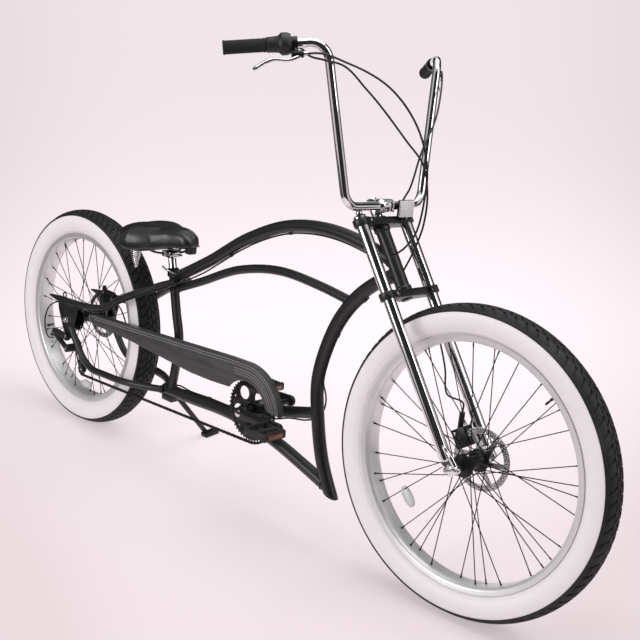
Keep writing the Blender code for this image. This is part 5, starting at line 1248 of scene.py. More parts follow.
def belt():
    """The chain's middle line round its four wheels, as (x, z) points."""
    contacts = []
    for index, (centre, radius, turn, _) in enumerate(CHAIN_WHEELS):
        following, next_radius, next_turn, _ = CHAIN_WHEELS[(index + 1) % len(CHAIN_WHEELS)]
        run = Vector((following.x - centre.x, following.z - centre.z))
        contacts.append(math.atan2(run.y,
            run.x) - math.acos((turn * radius - next_turn * next_radius) / run.length))
    path = []
    for index, (centre, radius, turn, steps) in enumerate(CHAIN_WHEELS):
        start, end = contacts[index - 1], contacts[index]
        sweep = (end - start) % FULL_TURN if turn > 0 else -((start - end) % FULL_TURN)
        flip = 0.0 if turn > 0 else math.pi
        for step in range(steps + 1):
            angle = start + sweep * step / steps + flip
            path.append(Vector((centre.x + radius * math.cos(angle), centre.z + radius * math.sin(angle))))
    return path


def evenly(path, spacing):
    """Points at equal steps along a closed path, an even number of them."""
    closed = path + [path[0]]
    spans = [(after - before).length for before, after in zip(closed, closed[1:])]
    count = 2 * round(sum(spans) / spacing / 2)
    step, places, gone, index = sum(spans) / count, [], 0.0, 0
    for link in range(count):
        while index < len(spans) - 1 and gone + spans[index] < link * step:
            gone += spans[index]
            index += 1
        share = (link * step - gone) / max(spans[index], 1e-9)
        places.append(closed[index].lerp(closed[index + 1], share))
    return places


def link_outline(waist):
    """A chain plate: two round ends joined by a waist."""
    half, end = CHAIN_PITCH / 2, 0.00415
    right = [(half + end * math.cos(math.radians(a)), end * math.sin(math.radians(a))) for a in (-120,
        -75, -30, 0, 30, 75, 120)]
    left = [(-x, y) for x, y in reversed(right)]
    return [*right, (0.0, waist), *left, (0.0, -waist)]


def chain_link(name, plate_z, waist, roller):
    plates = []
    for sign in (-1, 1):
        plate = sheet(f"{name}_plate_{sign}", link_outline(waist), 0.0009)
        plate.data.transform(Matrix.Translation((0, 0, sign * plate_z)))
        plates.append(plate)
    for sign in (-1, 1):
        pin = begin(bpy.ops.mesh.primitive_cylinder_add, "pin", vertices=8, radius=roller,
            depth=2 * plate_z + 0.0012)
        pin.data.transform(Matrix.Translation((sign * CHAIN_PITCH / 2, 0, 0)))
        bevelled(pin, 0.0002, 1)
        plates.append(pin)
    return joined(plates, name)


links = evenly(belt(), CHAIN_PITCH)
turns = []
for place, following in zip(links, links[1:] + links[:1]):
    middle = (place + following) / 2
    run = following - place
    turns.append(side_view(CHAIN_Y) @ Matrix.Translation((middle.x, middle.y, 0))
                 @ Matrix.Rotation(math.atan2(run.y, run.x), 4, "Z"))
outer_links = repeated(chain_link("outer_link", 0.0027, 0.0028, 0.0019), turns[::2], "outer_links")
inner_links = repeated(chain_link("inner_link", 0.0016, 0.0032, 0.0038), turns[1::2], "inner_links")
settle(joined([outer_links, inner_links], "roller_chain"), BIKE, "frame", "chain_steel", ["chain"])


def toothed(tip, root, teeth):
    """A sprocket's outline, with flat-topped teeth between round roots."""
    outline = []
    for step in range(teeth):
        for share, radius in ((0.0, root), (0.16, root + (tip - root) * 0.25), (0.36, tip), (0.46, tip),
                (0.64, tip - (tip - root) * 0.75),
                              (0.80, root)):
            angle = FULL_TURN * (step + share) / teeth
            outline.append((radius * math.cos(angle), radius * math.sin(angle)))
    return outline


sprocket_parts = []
for step in range(GEARS):
    radius = DRIVING_GEAR_RADIUS + GEAR_RADIUS_STEP * (DRIVING_GEAR - step)
    teeth = round(FULL_TURN * (radius + GEAR_TOOTH_HALF) / CHAIN_PITCH)
    windows = [ring(0.0026, 8, ((radius - 0.009) * math.cos(a), (radius - 0.009) * math.sin(a)))
               for a in [FULL_TURN * k / 8 for k in range(8)]]
    gear = sheet(f"gear_{step}", toothed(radius + GEAR_TOOTH_HALF, radius - GEAR_TOOTH_HALF, teeth), 0.0018,
                 [*windows, ring(0.0123, 24)], 0.0003)
    gear.data.transform(side_view(CHAIN_Y + GEAR_SPACING * (DRIVING_GEAR - step)))
    sprocket_parts.append(gear)
carrier = turned("carrier", [(0.0123, 0.0), (0.0180, 0.0), (0.0180, 0.0265), (0.0123, 0.0265)], 32,
    closed=True)
carrier.data.transform(facing(ACROSS * (CHAIN_Y + 0.0105), -ACROSS))
sprocket_parts.append(carrier)
sprockets = joined(sprocket_parts, "rear_gear_cluster")
settle(sprockets, REAR_WHEEL, "rear_wheel", "chain_steel", ["rear_sprockets"])

ring_windows = []
for index in range(5):
    turn = math.radians(52.0 + 72.0 * index)
    ring_windows.append(ring(0.0195, 28, (0.0535 * math.cos(turn), 0.0535 * math.sin(turn))))
    turn = math.radians(88.0 + 72.0 * index)
    middle = Vector((0.0715 * math.cos(turn), 0.0715 * math.sin(turn)))
    ring_windows.append([(middle.x + reach * math.cos(turn + way), middle.y + reach * math.sin(turn + way))
                         for reach, way in ((0.0060, 0.9), (0.0035, math.pi), (0.0060, -0.9))])
chainring = sheet("chainring_disc", toothed(CHAINRING_TIP_RADIUS, CHAINRING_ROOT_RADIUS, CHAINRING_TEETH),
    0.0025, [*ring_windows, ring(0.0224, 32)], 0.0004)
bolts = repeated(socket_screw("ring_bolt", 0.0045, 0.0030), [
    Matrix.Rotation(math.radians(88.0 + 72.0 * index), 4, "Z") @ Matrix.Translation((0.0330, 0, 0.0022))
    for index in range(5)], "ring_bolts")
rib = turned("ring_rib", [(0.0785, 0.0010), (0.0785, 0.0020), (0.0805, 0.0020), (0.0805, 0.0010)], 96,
    closed=True)
chainring = joined([chainring, bolts, rib], "toothed_chainring")
chainring.data.transform(side_view(CHAIN_Y))
settle(chainring, BIKE @ Matrix.Translation(BRACKET), "cranks", "black_alloy", ["chainring"])


def arm_outline(length, lift):
    root, tip = 0.0165, 0.0125
    rise = math.atan2(lift, length)
    points = [(root * math.cos(math.radians(a)), root * math.sin(math.radians(a))) for a in range(90, 271,
        15)]
    points += [(length + tip * math.cos(math.radians(a)),
        tip * math.sin(math.radians(a))) for a in range(-85, 86, 17)]
    return [(x * math.cos(rise) - y * math.sin(rise), x * math.sin(rise) + y * math.cos(rise)) for x,
        y in points]


PEDAL_PLACES = {"right": BRACKET + Vector((0.165, 0.0, 0.006)), "left": BRACKET - Vector((0.165, 0.0, 0.006))}
crank_parts = [rod("spindle", BRACKET - ACROSS * 0.104, BRACKET + ACROSS * 0.104, 0.0090, 32, 0.001)]
boss = turned("boss", [
    (0.0080, 0.0), (0.0200, 0.0), (0.0218, 0.0010), (0.0220, 0.0030), (0.0220, 0.0300), (0.0205, 0.0360),
    (0.0170, 0.0400), (0.0170, 0.0460), (0.0080, 0.0460)], 40, closed=True)
boss.data.transform(facing(BRACKET + ACROSS * (CHAIN_Y + 0.004), -ACROSS))
crank_parts.append(boss)
chrome_bits = []
for side, sign in (("right", -1.0), ("left", 1.0)):
    step = PEDAL_PLACES[side] - BRACKET
    outline = arm_outline(abs(step.x), abs(step.z))
    if side == "left":
        outline = [(-x, -y) for x, y in outline]
    arm = sheet(f"arm_{side}", outline, 0.012, (), 0.0028)
    arm.data.transform(side_view(0.0))
    arm.data.transform(Matrix.Translation(BRACKET + ACROSS * sign * 0.100))
    crank_parts.append(arm)
    crank_parts.append(rod(f"pedal_spindle_{side}", PEDAL_PLACES[side] + ACROSS * sign * 0.098,
                           PEDAL_PLACES[side] + ACROSS * sign * 0.1855, 0.0058, 20, 0.0005))
    cap = turned("dust_cap", [(0.0, 0.0), (0.0102, 0.0), (0.0106, 0.0005), (0.0104, 0.0010),
        (0.0060, 0.0014), (0.0, 0.0013)],
                 32)
    cap.data.transform(facing(BRACKET + ACROSS * sign * 0.1056, ACROSS * sign))
    chrome_bits.append(cap)
settle(joined(crank_parts, "crank_arms"), BIKE, "cranks", "black_alloy", ["crank_set"])
settle(joined(chrome_bits, "crank_caps"), BIKE, "cranks", "chrome")


def pedal_body(name, sign, middle, body, node):
    """A moulded cage with toothed rails, end plates and ribs round its barrel, and amber reflectors."""
    parts = [turned("barrel", [
        (0.0066, -0.037), (0.0098, -0.037), (0.0104, -0.036), (0.0092, -0.030), (0.0088, 0.026),
        (0.0100, 0.030),
        (0.0098, 0.036), (0.0070, 0.0375), (0.0066, 0.0375)], 24, closed=True)]
    parts[0].data.transform(facing((0, 0, 0), ACROSS))
    for ahead in (-1, 1):
        parts.append(slab("rail", (ahead * 0.0370, 0.0, 0.0), (0.0105, 0.0770, 0.0200), rounding=0.0016))
        tooth = begin(bpy.ops.mesh.primitive_cone_add, "tooth", vertices=4, radius1=0.0042,
            radius2=0.0020, depth=0.0034)
        teeth = []
        for step in range(-4, 5):
            for face in (-1, 1):
                teeth.append(Matrix.Translation((ahead * 0.0370, step * 0.0086, face * 0.0112))
                             @ Matrix.Rotation(0.0 if face > 0 else math.pi, 4, "X")
                             @ Matrix.Rotation(math.pi / 4, 4, "Z"))
        parts.append(repeated(tooth, teeth, "teeth"))
        parts.append(slab("end", (0.0, ahead * 0.0360, 0.0), (0.0740, 0.0075, 0.0180), rounding=0.0016))
        parts.append(slab("rib", (ahead * 0.0210, 0.0, 0.0), (0.0240, 0.0060, 0.0130), rounding=0.0012))
        parts.append(slab("rib_slant", (ahead * 0.0210, ahead * 0.0170, 0.0), (0.0250, 0.0050, 0.0120),
            rounding=0.0010))
    cage = joined(parts, name)
    centre = middle + ACROSS * sign * 0.152
    cage.data.transform(Matrix.Translation(centre))
    settle(cage, BIKE, body, "black_plastic", [node])
    glints = []
    for ahead in (-1, 1):
        glints.append(slab("glint", (ahead * 0.0427, 0.0, 0.0), (0.0024, 0.0500, 0.0120), rounding=0.0008))
    lens = joined(glints, name + "_reflectors")
    lens.data.transform(Matrix.Translation(centre))
    settle(lens, BIKE, body, "amber_reflector")


pedal_body("right_pedal_cage", -1.0, PEDAL_PLACES["right"], "right_pedal", "pedal_right")
pedal_body("left_pedal_cage", 1.0, PEDAL_PLACES["left"], "left_pedal", "pedal_left")

# Chain guard: a moulded skin with a turned-in top, two ridges along it and ribs round its nose
GUARD_CENTRE = Vector((0.916, 0.315))
GUARD_TOP = ((0.146, 0.419), (0.411, 0.433), (0.636, 0.445), (0.842, 0.4565))
GUARD_BOTTOM = ((0.761, 0.364), (0.667, 0.363), (0.519, 0.373), (0.361, 0.384), (0.194, 0.386),
    (0.154, 0.390))
GUARD_OUTER_Y = -0.088


def guard_arc(radius, start, end, steps):
    return [(GUARD_CENTRE.x + radius * math.cos(math.radians(start + (end - start) * step / steps)),
             GUARD_CENTRE.y + radius * math.sin(math.radians(start + (end - start) * step / steps)))
            for step in range(steps + 1)]


def guard_line(inset, first_x, last_angle):
    """A line that keeps an inset from the guard's top edge, round its nose."""
    top = [(x, z - inset) for x, z in GUARD_TOP]
    start_z = between(top, first_x)[1]
    return ([(first_x, start_z)] + [point for point in top if point[0] > first_x + 0.01]
            + guard_arc(0.143 - inset, 92, last_angle, 28))


skin = sheet("guard_skin", [*GUARD_TOP, *guard_arc(0.143, 92, 10, 30), *guard_arc(0.090, 19, 143, 30),
                            *GUARD_BOTTOM, (0.118, 0.3985)], 0.0025, (), 0.0006)
skin.data.transform(side_view(GUARD_OUTER_Y + 0.00125))
lip_inner = guard_line(0.0025, 0.147, 11)
lip = sheet("guard_lip", [*GUARD_TOP, *guard_arc(0.143, 92, 10, 30), *lip_inner[::-1]], 0.0195, (), 0.0004)
lip.data.transform(side_view(-0.0780))
guard_parts, guard_lines = [skin, lip], []
for name, inset, first_x, last_angle, thick in (
        ("ridge_top", 0.0065, 0.150, 11.5, 0.0016), ("ridge_second", 0.0140, 0.165, 11.8, 0.0016),
        ("rib_1", 0.0240, 0.862, 13.0, 0.0015), ("rib_2", 0.0315, 0.858, 13.5, 0.0015),
        ("rib_3", 0.0390, 0.866, 15.0, 0.0015)):
    line = [Vector((x, GUARD_OUTER_Y + 0.0006, z)) for x, z in guard_line(inset, first_x, last_angle)]
    guard_lines.append(tube(name, line, thick, 10))
guard_parts.append(slab("tab", (0.150, -0.0775, 0.4120), (0.018, 0.016, 0.0030), rounding=0.0006))
guard_parts.append(slab("tab_riser", (0.150, -0.0700, 0.4245), (0.018, 0.0030, 0.0280), rounding=0.0006))
guard_parts.append(slab("arm", (0.4965, -0.0432, 0.3850), (0.018, 0.0846, 0.0040), rounding=0.0008))
settle(joined(guard_parts, "chain_guard_moulding"), BIKE, "frame", "guard_plastic", ["chain_guard"])
# The ridges and ribs take the lighter finish: painted highlights along them
settle(joined(guard_lines, "chain_guard_ridges"), BIKE, "frame", "guard_edge", ["chain_guard"])
screws = []
for x, z in ((0.140, 0.4040), (0.137, 0.4110)):
    screw = socket_screw("guard_screw", 0.0042, 0.0026)
    screw.data.transform(facing((x, GUARD_OUTER_Y - 0.0010, z), (0, -1, 0)))
    screws.append(screw)
settle(joined(screws, "guard_screws"), BIKE, "frame", "chrome")

# Rear derailleur
hinge = Matrix.Rotation(0.10, 4, "Y")
swing = Matrix.Rotation(math.radians(27), 4, "Y")
derailleur = [
    slab("knuckle", (-0.018, -0.0950, 0.3110), (0.088, 0.0174, 0.018), hinge, 0.004),
    slab("link_outer", (-0.026, -0.0990, 0.2910), (0.094, 0.0045, 0.013), swing, 0.0015),
    slab("link_inner", (-0.026, -0.0905, 0.2910), (0.094, 0.0045, 0.013), swing, 0.0015),
]
knuckle = turned("cage_knuckle", [
    (0.0, 0.0), (0.0105, 0.0), (0.0128, 0.0015), (0.0135, 0.0040), (0.0135, 0.0300), (0.0120, 0.0330),
    (0.0120, 0.0420),
    (0.0, 0.0420)], 32)
knuckle.data.transform(facing(UPPER_PULLEY + ACROSS * -0.104, ACROSS))
derailleur.append(knuckle)
barrel = turned("adjuster", [
    (0.0, 0.0), (0.0045, 0.0), (0.0050, 0.0010), (0.0050, 0.0100), (0.0036, 0.0115), (0.0030, 0.0160),
    (0.0, 0.0160)], 16)
barrel.data.transform(facing((-0.060, -0.1000, 0.3000), Vector((-0.030, 0.0, -0.005))))
derailleur.append(barrel)
span = LOWER_PULLEY - UPPER_PULLEY
lean = math.atan2(span.z, span.x)
for name, y in (("cage_outer", CHAIN_Y - 0.0060), ("cage_inner", CHAIN_Y + 0.0060)):
    outline = []
    for centre, start in ((UPPER_PULLEY, lean + math.pi / 2), (LOWER_PULLEY, lean - math.pi / 2)):
        outline += [(centre.x + 0.0115 * math.cos(start + step * math.pi / 10),
                     centre.z + 0.0115 * math.sin(start + step * math.pi / 10)) for step in range(11)]
    middle = (UPPER_PULLEY + LOWER_PULLEY) / 2
    slot = [(middle.x + reach * math.cos(lean) - side * math.sin(lean), middle.z + reach * math.sin(lean)
        + side * math.cos(lean))
            for reach, side in ((-0.018, -0.004), (0.018, -0.004), (0.018, 0.004), (-0.018, 0.004))]
    cage = sheet(name, outline, 0.0018, [slot], 0.0004)
    cage.data.transform(side_view(y))
    derailleur.append(cage)
for centre in (UPPER_PULLEY, LOWER_PULLEY):
    pulley = sheet("pulley", toothed(0.0190, 0.0150, 10), 0.0024,
        [ring(0.0022, 8, (0.0095 * math.cos(a), 0.0095 * math.sin(a)))
                   for a in [FULL_TURN * k / 5 for k in range(5)]], 0.0004)
    pulley.data.transform(Matrix.Translation(centre) @ side_view(CHAIN_Y))
    derailleur.append(pulley)
    derailleur.append(rod("pulley_pin", centre + ACROSS * (CHAIN_Y - 0.0075), centre
        + ACROSS * (CHAIN_Y + 0.0070), 0.0040, 16,
                          0.0005))
settle(joined(derailleur, "derailleur"), BIKE, "frame", "black_plastic", ["rear_derailleur"])
derailleur_bolts = []
for point, way, radius in (
        ((0.018, -0.1045, 0.3150), (0, -1, 0), 0.0055), ((-0.058, -0.1045, 0.3060), (0, -1, 0), 0.0040),
        ((0.022, -0.1045, 0.272), (0, -1, 0), 0.0050), ((0.058, -0.0640, 0.203), (0, -1, 0), 0.0042),
        ((-0.064, -0.1020, 0.2730), (0, -1, 0), 0.0034)):
    bolt = socket_screw("bolt", radius, 0.0026)
    bolt.data.transform(facing(point, way))
    derailleur_bolts.append(bolt)
settle(joined(derailleur_bolts, "derailleur_bolts"), BIKE, "frame", "chrome")


# Fork: legs, crowns with pinch bolts, axle nuts


def crown_outline(steps=12):
    clamp = LEG_RADIUS + 0.006
    half = [(FORK_TRAIL_OFFSET + 0.0125, LEG_SPACING / 2)]
    for step in range(steps + 1):
        turn = math.radians(20 + 145 * step / steps)
        half.append((FORK_TRAIL_OFFSET + clamp * math.cos(turn), LEG_SPACING + clamp * math.sin(turn)))
    half += [(-0.0085, LEG_SPACING / 2), (-0.0175, 0.016), (-0.0225, 0.006)]
    return half + [(x, -y) for x, y in reversed(half)]


for node, height in (("upper_crown", UPPER_CROWN_HEIGHT), ("lower_crown", LOWER_CROWN_HEIGHT)):
    plate = sheet(node + "_plate", crown_outline(), CROWN_THICKNESS, [
        ring(0.0157, 32, (FORK_TRAIL_OFFSET, sign * LEG_SPACING)) for sign in (-1, 1)], 0.0022)
    crown_parts = [plate]
    for sign in (-1, 1):
        crown_parts.append(slab("pinch_ear", (FORK_TRAIL_OFFSET + 0.0155, sign * (LEG_SPACING - 0.018), 0.0),
                                (0.010, 0.016, 0.015), rounding=0.002))
    if node == "upper_crown":
        crown_parts.append(rod("top_cap", (0, 0, 0.0095), (0, 0, 0.0150), 0.0195, 40, 0.0015))
    else:
        crown_parts.append(rod("steerer", (0, 0, -0.0135), (0, 0, 0.198), 0.0143, 32, 0.001))
    whole = joined(crown_parts, node + "_clamp")
    whole.data.transform(along_fork(steering_point(height)))
    settle(whole, FORK, "fork", "black_paint", [node])
crown_bolts = []
for height in (UPPER_CROWN_HEIGHT, LOWER_CROWN_HEIGHT):
    for sign in (-1, 1):
        bolt = socket_screw("crown_bolt", 0.0040, 0.0030)
        bolt.data.transform(facing(steering_point(height, sign * (LEG_SPACING - 0.018), FORK_TRAIL_OFFSET
            + 0.0212), AHEAD_OF_FORK))
        crown_bolts.append(bolt)
settle(joined(crown_bolts, "crown_bolts"), FORK, "fork", "chrome")

for side, sign in (("right", -1.0), ("left", 1.0)):
    y = sign * LEG_SPACING
    top_height = UPPER_CROWN_HEIGHT + CROWN_THICKNESS / 2 + 0.004
    leg = turned("leg", [(0.0, 0.0), (0.0120, 0.0), (0.0150, 0.0030), (0.0155, 0.0060), (0.0155, 0.300),
        (0.0155, top_height - 0.024),
                         (0.0, top_height - 0.024)], 48)
    leg.data.transform(along_fork(steering_point(0.024, y, FORK_TRAIL_OFFSET)))
    lug = sheet("lug", [(0.0155 * math.cos(math.radians(a)),
        0.0155 * math.sin(math.radians(a))) for a in range(180, 361, 15)]
                + [(0.0145, 0.034), (-0.0145, 0.034)], 0.010, [ring(0.0053, 16)], 0.0015)
    lug.data.transform(Matrix.Translation(FRONT_AXLE + ACROSS * y) @ ALONG_FORK
        @ Matrix.Rotation(math.pi / 2, 4, "X"))
    settle(joined([leg, lug], f"{side}_fork_tube"), FORK, "fork", "chrome", [f"fork_leg_{side}"])
    cap = turned("leg_cap", [(0.0, 0.0), (0.0152, 0.0), (0.0158, 0.0005), (0.0158, 0.0030),
        (0.0140, 0.0042), (0.0, 0.0042)], 40)
    cap.data.transform(along_fork(steering_point(top_height - 0.0005, y, FORK_TRAIL_OFFSET)))
    settle(cap, FORK, "fork", "black_plastic")

axle_parts = [rod("axle", FRONT_AXLE - ACROSS * 0.1095, FRONT_AXLE + ACROSS * 0.1095, 0.0049, 20, 0.0008)]
for sign in (-1, 1):
    nut = turned("nut", [(0.0052, 0.0), (0.0100, 0.0), (0.0104, 0.0008), (0.0098, 0.0016),
        (0.0094, 0.0090), (0.0076, 0.0104),
                         (0.0052, 0.0104)], 32, closed=True)
    nut.data.transform(facing(FRONT_AXLE + ACROSS * sign * 0.0940, ACROSS * sign))
    spacer = turned("spacer", [(0.0052, 0.0), (0.0085, 0.0), (0.0085, 0.0186), (0.0052, 0.0186)], 32,
        closed=True)
    spacer.data.transform(facing(FRONT_AXLE + ACROSS * sign * 0.0647, ACROSS * sign))
    axle_parts += [nut, spacer]
axle_parts.append(tube("quick_lever", smooth_path([
    (1.6690, -0.1075, 0.4030), (1.6477, -0.1095, 0.4296), (1.6249, -0.1075, 0.4471)], 8), 0.0052, 14,
    radii=[1.1] * 8 + [1.05, 0.95, 0.9, 0.9, 0.95, 1.05, 1.15, 1.2, 0.8]))
axle_parts.append(rod("lever_head", (1.6680, -0.1000, 0.4000), (1.6680, -0.1130, 0.4000), 0.0095, 28, 0.0015))
axle_parts.append(tube("lever_link", [
    FRONT_AXLE - ACROSS * 0.1060, (1.6600, -0.1060, 0.3960), (1.6680, -0.1060, 0.4000)], 0.0055, 12))
settle(joined(axle_parts, "front_quick_release"), FORK, "fork", "chrome", ["front_axle"])


# Handlebar, stem and controls

UPPER_CROWN = steering_point(UPPER_CROWN_HEIGHT)
BAR_BASE = UPPER_CROWN + Vector((0.0067, 0.0, 0.0471))
BAR_TOP = UPPER_CROWN + Vector((-0.0463, 0.222, 0.4251))
GRIP_END = UPPER_CROWN + Vector((-0.2093, 0.396, 0.3841))
MIRROR = Vector((1, -1, 1))
BAR_WAY = (BAR_TOP - GRIP_END).normalized()
bar_end = GRIP_END + BAR_WAY * 0.003
bar = tube("high_handlebar", rounded_path([
    bar_end * MIRROR, BAR_TOP * MIRROR, BAR_BASE - ACROSS * 0.150, BAR_BASE + ACROSS * 0.150, BAR_TOP,
    bar_end,
], 0.045, 14), 0.0111, 32)
settle(bar, FORK, "fork", "chrome", ["handlebar"])

stem_height = (BAR_BASE.z - steering_point(0).z) / math.sin(HEAD_ANGLE)
stem_head = steering_point(stem_height)
stem_parts = [
    rod("quill", steering_point(0.6490), steering_point(stem_height + 0.012), 0.0135, 36, 0.003),
    slab("neck", (stem_head + BAR_BASE) / 2, ((BAR_BASE - stem_head).length + 0.006, 0.034, 0.026),
        rounding=0.005),
    rod("clamp", BAR_BASE - ACROSS * 0.022, BAR_BASE + ACROSS * 0.022, 0.0181, 36, 0.002),
    slab("clamp_front", BAR_BASE + Vector((0.0085, 0.0, -0.0005)), (0.020, 0.042, 0.028), rounding=0.004),
]
for sign in (-1, 1):
    for rise in (-0.0085, 0.0085):
        bolt = socket_screw("stem_bolt", 0.0036, 0.0026)
        bolt.data.transform(facing(BAR_BASE + Vector((0.0192, sign * 0.0135, rise)), (1, 0, 0)))
        stem_parts.append(bolt)
settle(joined(stem_parts, "stem_and_clamp"), FORK, "fork", "chrome", ["stem"])
ball = begin(bpy.ops.mesh.primitive_uv_sphere_add, "bar_ball", segments=28, ring_count=16, radius=0.0085)
ball.data.transform(Matrix.Translation(BAR_BASE + Vector((-0.006, -0.090, -0.0180))))
ball_foot = rod("ball_foot", BAR_BASE + Vector((-0.002, -0.090, -0.006)), BAR_BASE
    + Vector((-0.005, -0.090, -0.0125)), 0.0045, 16, 0.0005)
settle(smoothed(joined([ball, ball_foot], "bar_ball")), FORK, "fork", "chrome")


def ribbed_grip(name, length, ribs):
    """A soft grip with a flanged end and fine rings."""
    profile = [(0.0, 0.0), (0.0150, 0.0), (0.0168, 0.0012), (0.0170, 0.0034), (0.0160, 0.0050)]
    pitch = (length - 0.016) / ribs
    for index in range(ribs):
        start = 0.006 + index * pitch
        profile += [(0.0151, start), (0.0160, start + pitch * 0.25), (0.0160, start + pitch * 0.70)]
    profile += [(0.0152, length - 0.008), (0.0165, length - 0.006), (0.0165, length - 0.002),
        (0.0140, length), (0.0113, length)]
    return turned(name, profile, 36)


LEVER_ENDS = {}
for side, sign, length in (("right", -1.0, 0.100), ("left", 1.0, 0.130)):
    mirror = Vector((1, sign, 1))
    start, inward = GRIP_END * mirror, BAR_WAY * mirror
    grip = ribbed_grip(f"{side}_grip_sleeve", length, 20 if side == "right" else 26)
    grip.data.transform(facing(start, inward))
    settle(grip, FORK, "fork", "grip_rubber", [f"grip_{side}"])
    clamp_at = length + 0.0003
    if side == "right":
        shifter = turned("shifter_body", [
            (0.0113, 0.0), (0.0170, 0.0), (0.0176, 0.0012), (0.0180, 0.0120), (0.0192, 0.0270),
            (0.0215, 0.0310), (0.0255, 0.0345),
            (0.0260, 0.0370), (0.0260, 0.0490), (0.0250, 0.0510), (0.0225, 0.0570), (0.0113, 0.0580)], 48)
        barrel = turned("shifter_barrel",
            [(0.0, 0.0), (0.0050, 0.0), (0.0050, 0.0090), (0.0040, 0.0100), (0.0040, 0.0150),
                (0.0, 0.0150)], 16)
        shifter.data.transform(facing(start + inward * clamp_at, inward))
        clamp_at += 0.0583
    drop = Vector((1.0, 0.0, -0.9))
    drop = (drop - inward * drop.dot(inward)).normalized()
    clamp_start = start + inward * clamp_at
    perch = clamp_start + inward * 0.007
    if side == "right":
        shifter_end = clamp_start + inward.cross(drop) * 0.0190
        barrel.data.transform(facing(shifter_end - inward * 0.012, inward))
        settle(joined([shifter, barrel], "twist_shifter_body"), FORK, "fork", "black_plastic",
            ["twist_shifter"])
    LEVER_ENDS[side] = clamp_start + inward * 0.035 + drop * 0.031
    collar = turned("collar",
        [(0.0114, 0.0), (0.0155, 0.0), (0.0161, 0.0008), (0.0161, 0.0132), (0.0155, 0.0140),
            (0.0114, 0.0140)],
                    36, closed=True)
    collar.data.transform(facing(clamp_start, inward))
    lever_parts = [collar, rod("perch", perch + drop * 0.0135, perch + drop * 0.034, 0.0068, 20, 0.001),
                   rod("perch_body", perch + drop * 0.031 - inward * 0.010, perch + drop * 0.031
                       + inward * 0.018, 0.0088, 24, 0.0015)]
    blade = smooth_path([
        perch + drop * 0.036 + inward * 0.010, perch + drop * 0.045 - inward * 0.014,
        perch + drop * 0.042 - inward * 0.056, perch + drop * 0.064 - inward * 0.100], 10)
    widths = [1.05 + 0.10 * math.sin(step * 0.35) for step in range(len(blade) - 3)] + [1.15, 1.2, 0.9]
    settle(joined(lever_parts, f"{side}_lever_perch"), FORK, "fork", "black_alloy", [f"brake_lever_{side}"])
    settle(tube(f"{side}_lever_blade", blade, 0.0044, 14, radii=widths), FORK, "fork", "chrome",
        [f"brake_lever_{side}"])
    adjuster = turned("adjuster",
        [(0.0, 0.0), (0.0062, 0.0), (0.0066, 0.0008), (0.0066, 0.0050), (0.0050, 0.0062), (0.0050, 0.0110),
                                   (0.0038, 0.0120), (0.0, 0.0120)], 20)
    adjuster.data.transform(facing(perch + drop * 0.031 + inward * 0.016, inward))
    pivot_screw = socket_screw("pivot_screw", 0.0038, 0.0024)
    pivot_screw.data.transform(facing(perch + drop * 0.031 + inward.cross(drop) * 0.0084, inward.cross(drop)))
    settle(joined([adjuster, pivot_screw], f"{side}_lever_adjuster"), FORK, "fork", "chrome")

# Front reflector on its bracket
bracket_arm = tube("reflector_arm", smooth_path([
    BAR_BASE + Vector((0.006, 0.060, 0.006)), (1.296, 0.060, 0.945), (1.303, 0.060, 0.952)], 6), 0.0035, 10)
shell = slab("reflector_back", (1.3050, 0.060, 0.9520), (0.005, 0.058, 0.044), rounding=0.002)
settle(joined([bracket_arm, shell], "reflector_bracket"), FORK, "fork", "black_plastic")
lens = slab("front_reflector", (1.3105, 0.060, 0.9520), (0.006, 0.056, 0.042), rounding=0.0018)
settle(lens, FORK, "fork", "clear_reflector")


# Disc calipers

lean_turn = Matrix.Rotation(HEAD_ANGLE - math.pi / 2, 4, "Y")
FRONT_CALIPER = steering_point(0.066, 0.0, FORK_TRAIL_OFFSET - 0.034)
REAR_CALIPER = Vector((0.018, 0.0, 0.4330))
for node, centre, turn, rotor_y, outer_y, size, arm, place, body in (
        ("front_caliper", FRONT_CALIPER, lean_turn, 0.0475, 0.0800, (0.040, 0.050),
            Vector((-0.016, 0.060, 0.014)), FORK, "fork"),
        ("rear_caliper", REAR_CALIPER, Matrix.Rotation(0.03, 4, "Y"), 0.058, 0.0800, (0.052, 0.036),
            Vector((-0.020, 0.062, 0.008)),
         BIKE, "frame")):
    length, height = size
    inboard = rotor_y - 0.0085
    parts = [
        slab("pad_side", centre + ACROSS * (inboard + 0.00275), (length, 0.0055, height), turn, 0.0018),
        slab("body_side", centre + ACROSS * (rotor_y + 0.003 + outer_y) / 2,
            (length, outer_y - rotor_y - 0.003, height), turn, 0.0040),
        slab("bridge", centre + turn.to_3x3() @ Vector((0.0, 0.0, height * 0.36)) + ACROSS * rotor_y,
             (length * 0.9, 0.016, height * 0.26), turn, 0.0015),
        rod("arm", centre + arm, centre + arm + Vector((0, 0, 0.046 if body == "fork" else 0.026)),
            0.0072, 20, 0.001),
    ]
    if body == "fork":
        parts.append(slab("mount", centre + ACROSS * 0.0830, (0.016, 0.009, 0.040), turn, 0.0015))
    settle(joined(parts, node + "_body"), place, body, "black_alloy", [node])
    screws = []
    for ahead, up in ((0.011, -0.014), (-0.004, -0.002), (-0.011, 0.014)):
        screw = socket_screw("caliper_screw", 0.0040 if up != -0.002 else 0.0075, 0.0030)
        spot = centre + turn.to_3x3() @ Vector((ahead, 0.0, up)) - ACROSS * -(inboard - 0.0010)
        screw.data.transform(facing(spot, (0, -1, 0)))
        screws.append(screw)
    settle(joined(screws[:2], node + "_adjusters"), place, body, "black_alloy")
    settle(joined(screws[2:], node + "_screw"), place, body, "chrome")


# Side stand

